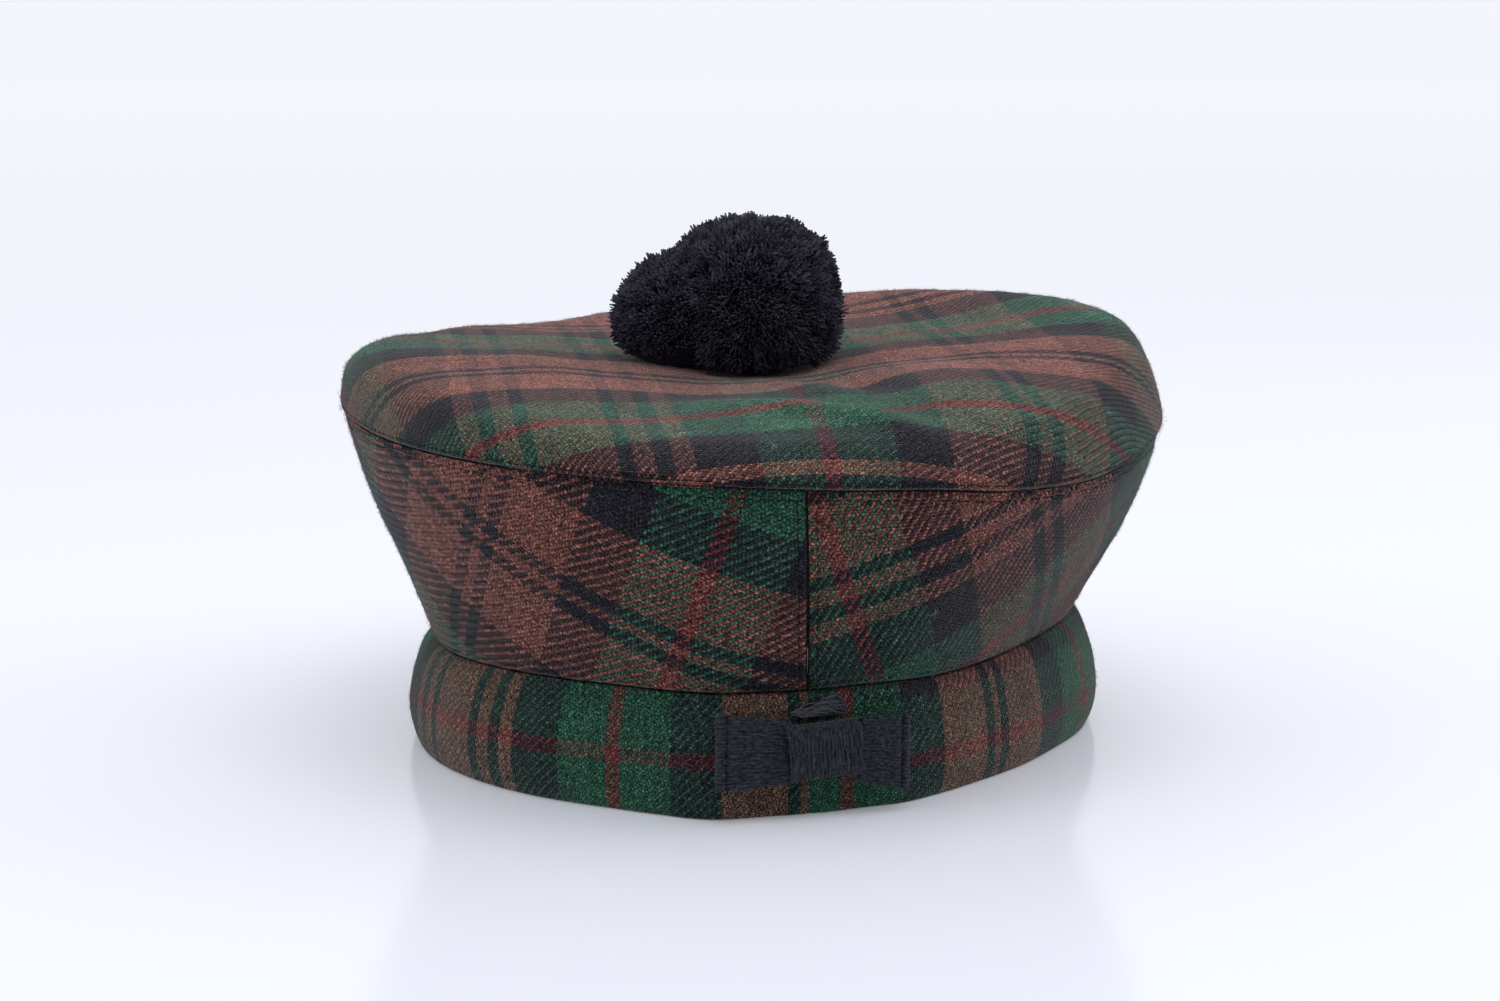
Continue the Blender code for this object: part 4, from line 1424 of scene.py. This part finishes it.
def tartan_group():
    """Two over, two under twill in the sett's colours, with painted shade and highlight on the yarn's relief,
    and its nap with a painted sheen.
    """
    tree = bpy.data.node_groups.new("tartan_twill", "ShaderNodeTree")
    tree.interface.new_socket("Cloth", in_out="INPUT", socket_type="NodeSocketVector")
    tree.interface.new_socket("Nap", in_out="INPUT", socket_type="NodeSocketFloat")
    tree.interface.new_socket("Warp", in_out="INPUT", socket_type="NodeSocketFloat")
    tree.interface.new_socket("Colour", in_out="OUTPUT", socket_type="NodeSocketColor")
    tree.interface.new_socket("Height", in_out="OUTPUT", socket_type="NodeSocketFloat")
    start = tree.nodes.new("NodeGroupInput")
    end = tree.nodes.new("NodeGroupOutput")
    cloth = start.outputs["Cloth"]
    warp_lead = start.outputs["Warp"]
    maths = functools.partial(maths_node, tree)
    chance = functools.partial(chance_node, tree)
    grain = functools.partial(noise_node, tree, cloth)

    wandered = cloth
    for grains, reach in WANDERS:
        wandered = shaken(tree, wandered, grains, reach)
    split = tree.nodes.new("ShaderNodeSeparateXYZ")
    tree.links.new(wandered, split.inputs[0])
    across = maths("DIVIDE", split.outputs[0], YARN_PITCH)
    along = maths("DIVIDE", split.outputs[1], YARN_PITCH)
    warp_number = maths("FLOOR", across)
    weft_number = maths("FLOOR", along)
    warp_colour = sett_colour(tree, maths("MULTIPLY", warp_number, YARN_PITCH))
    weft_colour = sett_colour(tree, maths("MULTIPLY", weft_number, YARN_PITCH))

    def yarn_height(place, number, other, phase):
        """A round yarn, raised in its float over two others and sunk where it runs under them."""
        rounded = maths("SINE", maths("MULTIPLY", maths("FRACT", place), math.pi))
        offset = maths("ADD", maths("SUBTRACT", other, number), phase)
        floated = maths("COSINE", maths("MULTIPLY", offset, math.pi / 2))
        return maths("MULTIPLY_ADD", rounded, YARN_ROUND, floated)

    warp_height = yarn_height(across, warp_number, along, 0.0)
    weft_height = yarn_height(along, weft_number, across, WEFT_PHASE)
    height = maths("MAXIMUM", warp_height, weft_height)
    stray = grain(STRAY_GRAIN, 2.0, 0.6)
    lead = maths("SUBTRACT", warp_height, weft_height)
    lead = maths("ADD", lead, maths("MULTIPLY_ADD", stray.outputs[0], *STRAY_LEAD))
    lead = maths("ADD", lead, maths("MULTIPLY_ADD", warp_lead, *WARP_LEAD))
    on_top = range_node(tree, lead, -GIVE_WAY, GIVE_WAY, smooth=True)

    # Each yarn has a shade of its own, and so has each float
    warp_shade = maths("MULTIPLY_ADD", chance(warp_number, 0.5), *YARN_SHADE)
    weft_shade = maths("MULTIPLY_ADD", chance(weft_number, 7.5), *YARN_SHADE)
    float_shade = maths("MULTIPLY_ADD", chance(warp_number, weft_number), *FLOAT_SHADE)
    warp_colour = scaled_colour(tree, warp_colour, warp_shade)
    weft_colour = scaled_colour(tree, weft_colour, weft_shade)
    yarns = mix_colour(tree, on_top, weft_colour, warp_colour)

    # Painted shade in the gaps between the yarns and painted highlight on their crowns, filled where the nap
    # is raised; the raised nap is lightened as a painted sheen
    lit = maths("MULTIPLY", range_node(tree, height, *PAINTED_HOLLOW_SHADE), float_shade)
    colour = scaled_colour(tree, yarns, lit)
    napped_with_sheen = mix_colour(tree, warp_lead, weft_colour, warp_colour)
    napped_with_sheen = scaled_colour(tree, napped_with_sheen, maths("MULTIPLY_ADD", lit, *NAP_SHEEN_SHADE))
    colour = mix_colour(tree, start.outputs["Nap"], colour, napped_with_sheen)

    # Fibres: fine mottling everywhere, and pale ends here and there
    fuzz = grain(FUZZ_GRAIN, 4.0, 0.72)
    patch = grain(PATCH_GRAIN, 2.0)
    clots = grain(CLOT_GRAIN, 2.0, 0.6)
    mottled = range_node(tree, fuzz.outputs[0], *MOTTLED_SHADE)
    bright = maths("MULTIPLY", mottled, maths("MULTIPLY_ADD", patch.outputs[0], *PATCH_SHADE))
    bright = maths("MULTIPLY", bright, maths("MULTIPLY_ADD", clots.outputs[0], *CLOT_SHADE))
    twice_across = maths("FLOOR", maths("MULTIPLY", across, 2.0))
    twice_along = maths("FLOOR", maths("MULTIPLY", along, 2.0))
    fleck = maths("MULTIPLY_ADD", chance(twice_across, twice_along), *FLECK_SHADE)
    colour = scaled_colour(tree, colour, maths("MULTIPLY", bright, fleck))
    ends_seen = range_node(tree, grain(FUZZ_GRAIN, 2.0).outputs[0], *PALE_ENDS)
    colour = mix_colour(tree, ends_seen, colour, PALE_END)

    tree.links.new(colour, end.inputs["Colour"])
    tree.links.new(maths("MULTIPLY_ADD", fuzz.outputs[0], FUZZ_HEIGHT, height), end.inputs["Height"])
    return tree


def new_finish(name, roughness, gloss, sheen=0.0):
    """A material with its roughness, gloss and sheen, its tree of nodes and its shader."""
    material = bpy.data.materials.new(name)
    material.use_nodes = True
    shader = material.node_tree.nodes["Principled BSDF"]
    shader.inputs["Roughness"].default_value = roughness
    shader.inputs["Specular IOR Level"].default_value = gloss
    shader.inputs["Sheen Weight"].default_value = sheen
    return material, material.node_tree, shader


def plain_finish(name, colour, gloss=0.15):
    material, _, shader = new_finish(name, 0.9, gloss)
    shader.inputs["Base Color"].default_value = (*colour, 1)
    return material


def cloth_place(tree):
    flat = tree.nodes.new("ShaderNodeUVMap")
    flat.uv_map = "cloth"
    return flat.outputs[0]


def marked(tree, name):
    mark = tree.nodes.new("ShaderNodeAttribute")
    mark.attribute_name = name
    return mark.outputs["Fac"]


def add_relief(tree, shader, height, distance):
    bump = tree.nodes.new("ShaderNodeBump")
    bump.inputs["Distance"].default_value = distance
    tree.links.new(height, bump.inputs["Height"])
    tree.links.new(bump.outputs[0], shader.inputs["Normal"])


def tartan(name, group, warp_shows=WARP_SHOWS):
    """Woollen tartan laid over a piece by the places of its cloth in the sett."""
    material, tree, shader = new_finish(name, 0.95, 0.10, 0.30)
    shader.inputs["Sheen Roughness"].default_value = 0.30
    weave = tree.nodes.new("ShaderNodeGroup")
    weave.node_tree = group
    tree.links.new(cloth_place(tree), weave.inputs["Cloth"])
    # The nap mark also carries the painted sheen on upward-facing cloth
    tree.links.new(marked(tree, "nap"), weave.inputs["Nap"])
    weave.inputs["Warp"].default_value = warp_shows
    tree.links.new(weave.outputs["Colour"], shader.inputs["Base Color"])
    add_relief(tree, shader, weave.outputs["Height"], WOOL_RELIEF)
    return material


def pompom_wool():
    """Black yarn whose ends differ in shade, with small curls."""
    material, tree, shader = new_finish("pompom_wool", 0.95, 0.08, 0.05)
    place = tree.nodes.new("ShaderNodeTexCoord")
    curls = noise_node(tree, place.outputs["Object"], CURL_GRAIN, 2.0, 0.7)
    colour = mix_colour(tree, marked(tree, "shade"), POMPOM_DARK, POMPOM_LIGHT)
    colour = scaled_colour(tree, colour, maths_node(tree, "MULTIPLY_ADD", curls.outputs[0], *CURL_SHADE))
    tree.links.new(colour, shader.inputs["Base Color"])
    return material


def ribbon_material():
    """Black ribbon, its threads drawn out along the ribs, with a few pale ends."""
    material, tree, shader = new_finish("ribbon_rib", 0.8, 0.15, 0.08)
    place = cloth_place(tree)
    drawn_out = tree.nodes.new("ShaderNodeMapping")
    tree.links.new(place, drawn_out.inputs["Vector"])
    drawn_out.inputs["Scale"].default_value = (0.25, 1, 1)
    threads = noise_node(tree, drawn_out.outputs[0], RIBBON_GRAIN, 3.0, 0.7).outputs[0]
    cross = noise_node(tree, place, RIBBON_GRAIN, 2.0).outputs[0]
    mottled = range_node(tree, threads, *RIBBON_MOTTLE)
    colour = mix_colour(tree, mottled, RIBBON_DARK, RIBBON_LIGHT)
    colour = mix_colour(tree, range_node(tree, cross, *RIBBON_ENDS), colour, (*RIBBON_PALE, 1))
    tree.links.new(colour, shader.inputs["Base Color"])
    add_relief(tree, shader, maths_node(tree, "ADD", threads, cross), RIBBON_RELIEF)
    return material


def studio():
    """A pale floor in a white tent, soft light from above and both sides, and the photograph's camera."""
    grid = bmesh.new()
    bmesh.ops.create_grid(grid, x_segments=1, y_segments=1, size=FLOOR_REACH)
    floor = in_scene("floor", mesh_of("floor", grid))
    paper, _, shader = new_finish("floor_gloss", FLOOR_ROUGHNESS, 0.5)
    shader.inputs["Base Color"].default_value = FLOOR_COLOUR
    shader.inputs["IOR"].default_value = FLOOR_IOR
    shader.inputs["Emission Color"].default_value = GLOW_COLOUR
    shader.inputs["Emission Strength"].default_value = FLOOR_GLOW
    floor.data.materials.append(paper)

    # The tent is dimmer at its opening, on the camera's side
    world = bpy.data.worlds.new("studio")
    bpy.context.scene.world = world
    world.use_nodes = True
    tree = world.node_tree
    way = tree.nodes.new("ShaderNodeTexCoord")
    split = tree.nodes.new("ShaderNodeSeparateXYZ")
    tree.links.new(way.outputs["Generated"], split.inputs[0])
    light = range_node(tree, split.outputs[1], *OPENING_EDGE, TENT_LIGHT, OPENING_LIGHT, smooth=True)
    tent = tree.nodes["Background"]
    tent.inputs[0].default_value = TENT_COLOUR
    tree.links.new(light, tent.inputs[1])

    for box in SOFTBOXES:
        lamp = bpy.data.lights.new(box.name, "AREA")
        lamp.shape = "RECTANGLE"
        lamp.size = box.size
        lamp.size_y = box.size
        lamp.energy = box.power
        holder = in_scene(box.name, lamp)
        holder.location = box.place
        aim = Vector(LIT_PLACE) - Vector(box.place)
        holder.rotation_euler = aim.to_track_quat("-Z", "Y").to_euler()

    lens = bpy.data.cameras.new("camera")
    lens.lens = LENS
    lens.sensor_width = SENSOR
    lens.clip_start = 0.01
    camera = in_scene("camera", lens)
    camera.location = CAMERA_PLACE
    camera.rotation_euler = (math.radians(CAMERA_TILT), 0, math.radians(CAMERA_TURN))
    bpy.context.scene.camera = camera
    bpy.context.scene.view_settings.view_transform = "Standard"


studio()
twill = tartan_group()
# Near-black painted shade for the cloth's rims and the seams' shadow
rim_finish = plain_finish("cut_edge_wool", (0.010, 0.010, 0.011), 0)
band = headband(tartan("headband_tartan", twill, BAND_WARP_SHOWS), rim_finish)
panel_cloth = tartan("side_panel_tartan", twill)
right_panel = side_panel("side_panel_right", 0, 180, RIGHT_PANEL_LAY, panel_cloth, rim_finish)
left_panel = side_panel("side_panel_left", -180, 0, LEFT_PANEL_LAY, panel_cloth, rim_finish)
crown = crown_top(tartan("crown_tartan", twill), rim_finish)
sewing_thread = plain_finish("sewing_thread", (0.008, 0.009, 0.010))
topstitching(crown, ((right_panel, 0), (left_panel, -180)), sewing_thread)
loose_fibres(
    "loose_wool",
    (
        (crown, PATCHES_ON_CROWN),
        (right_panel, PATCHES_ON_PANEL),
        (left_panel, PATCHES_ON_PANEL),
        (band, PATCHES_ON_BAND),
    ),
    # Real loose fibres, their pale grey a painted glow of fibres seen against the light
    plain_finish("loose_wool", (0.15, 0.15, 0.14)),
)
lint(crown, (right_panel, left_panel), plain_finish("pale_lint", (0.55, 0.53, 0.50)))
pompom(pompom_wool())
ribbon = ribbon_material()
left_loop = bow_loop("bow_loop_left", -1, LEFT_FLARE, LEFT_DROOP, ribbon)
right_loop = bow_loop("bow_loop_right", 1, RIGHT_FLARE, RIGHT_DROOP, ribbon)
knot = bow_knot(ribbon)
tail, tail_threads = bow_tail(ribbon)
for piece in (left_loop, right_loop, knot):
    fray(tail_threads, piece)
thread_finish = plain_finish("ribbon_thread", (0.100, 0.106, 0.126))
ribbon_threads = trimming("ribbon_threads", tail_threads, thread_finish)
loose_fibres(
    "ribbon_fibres",
    [(piece, PATCHES_ON_RIBBON) for piece in (left_loop, right_loop, knot)],
    plain_finish("ribbon_fibre", RIBBON_PALE),
)
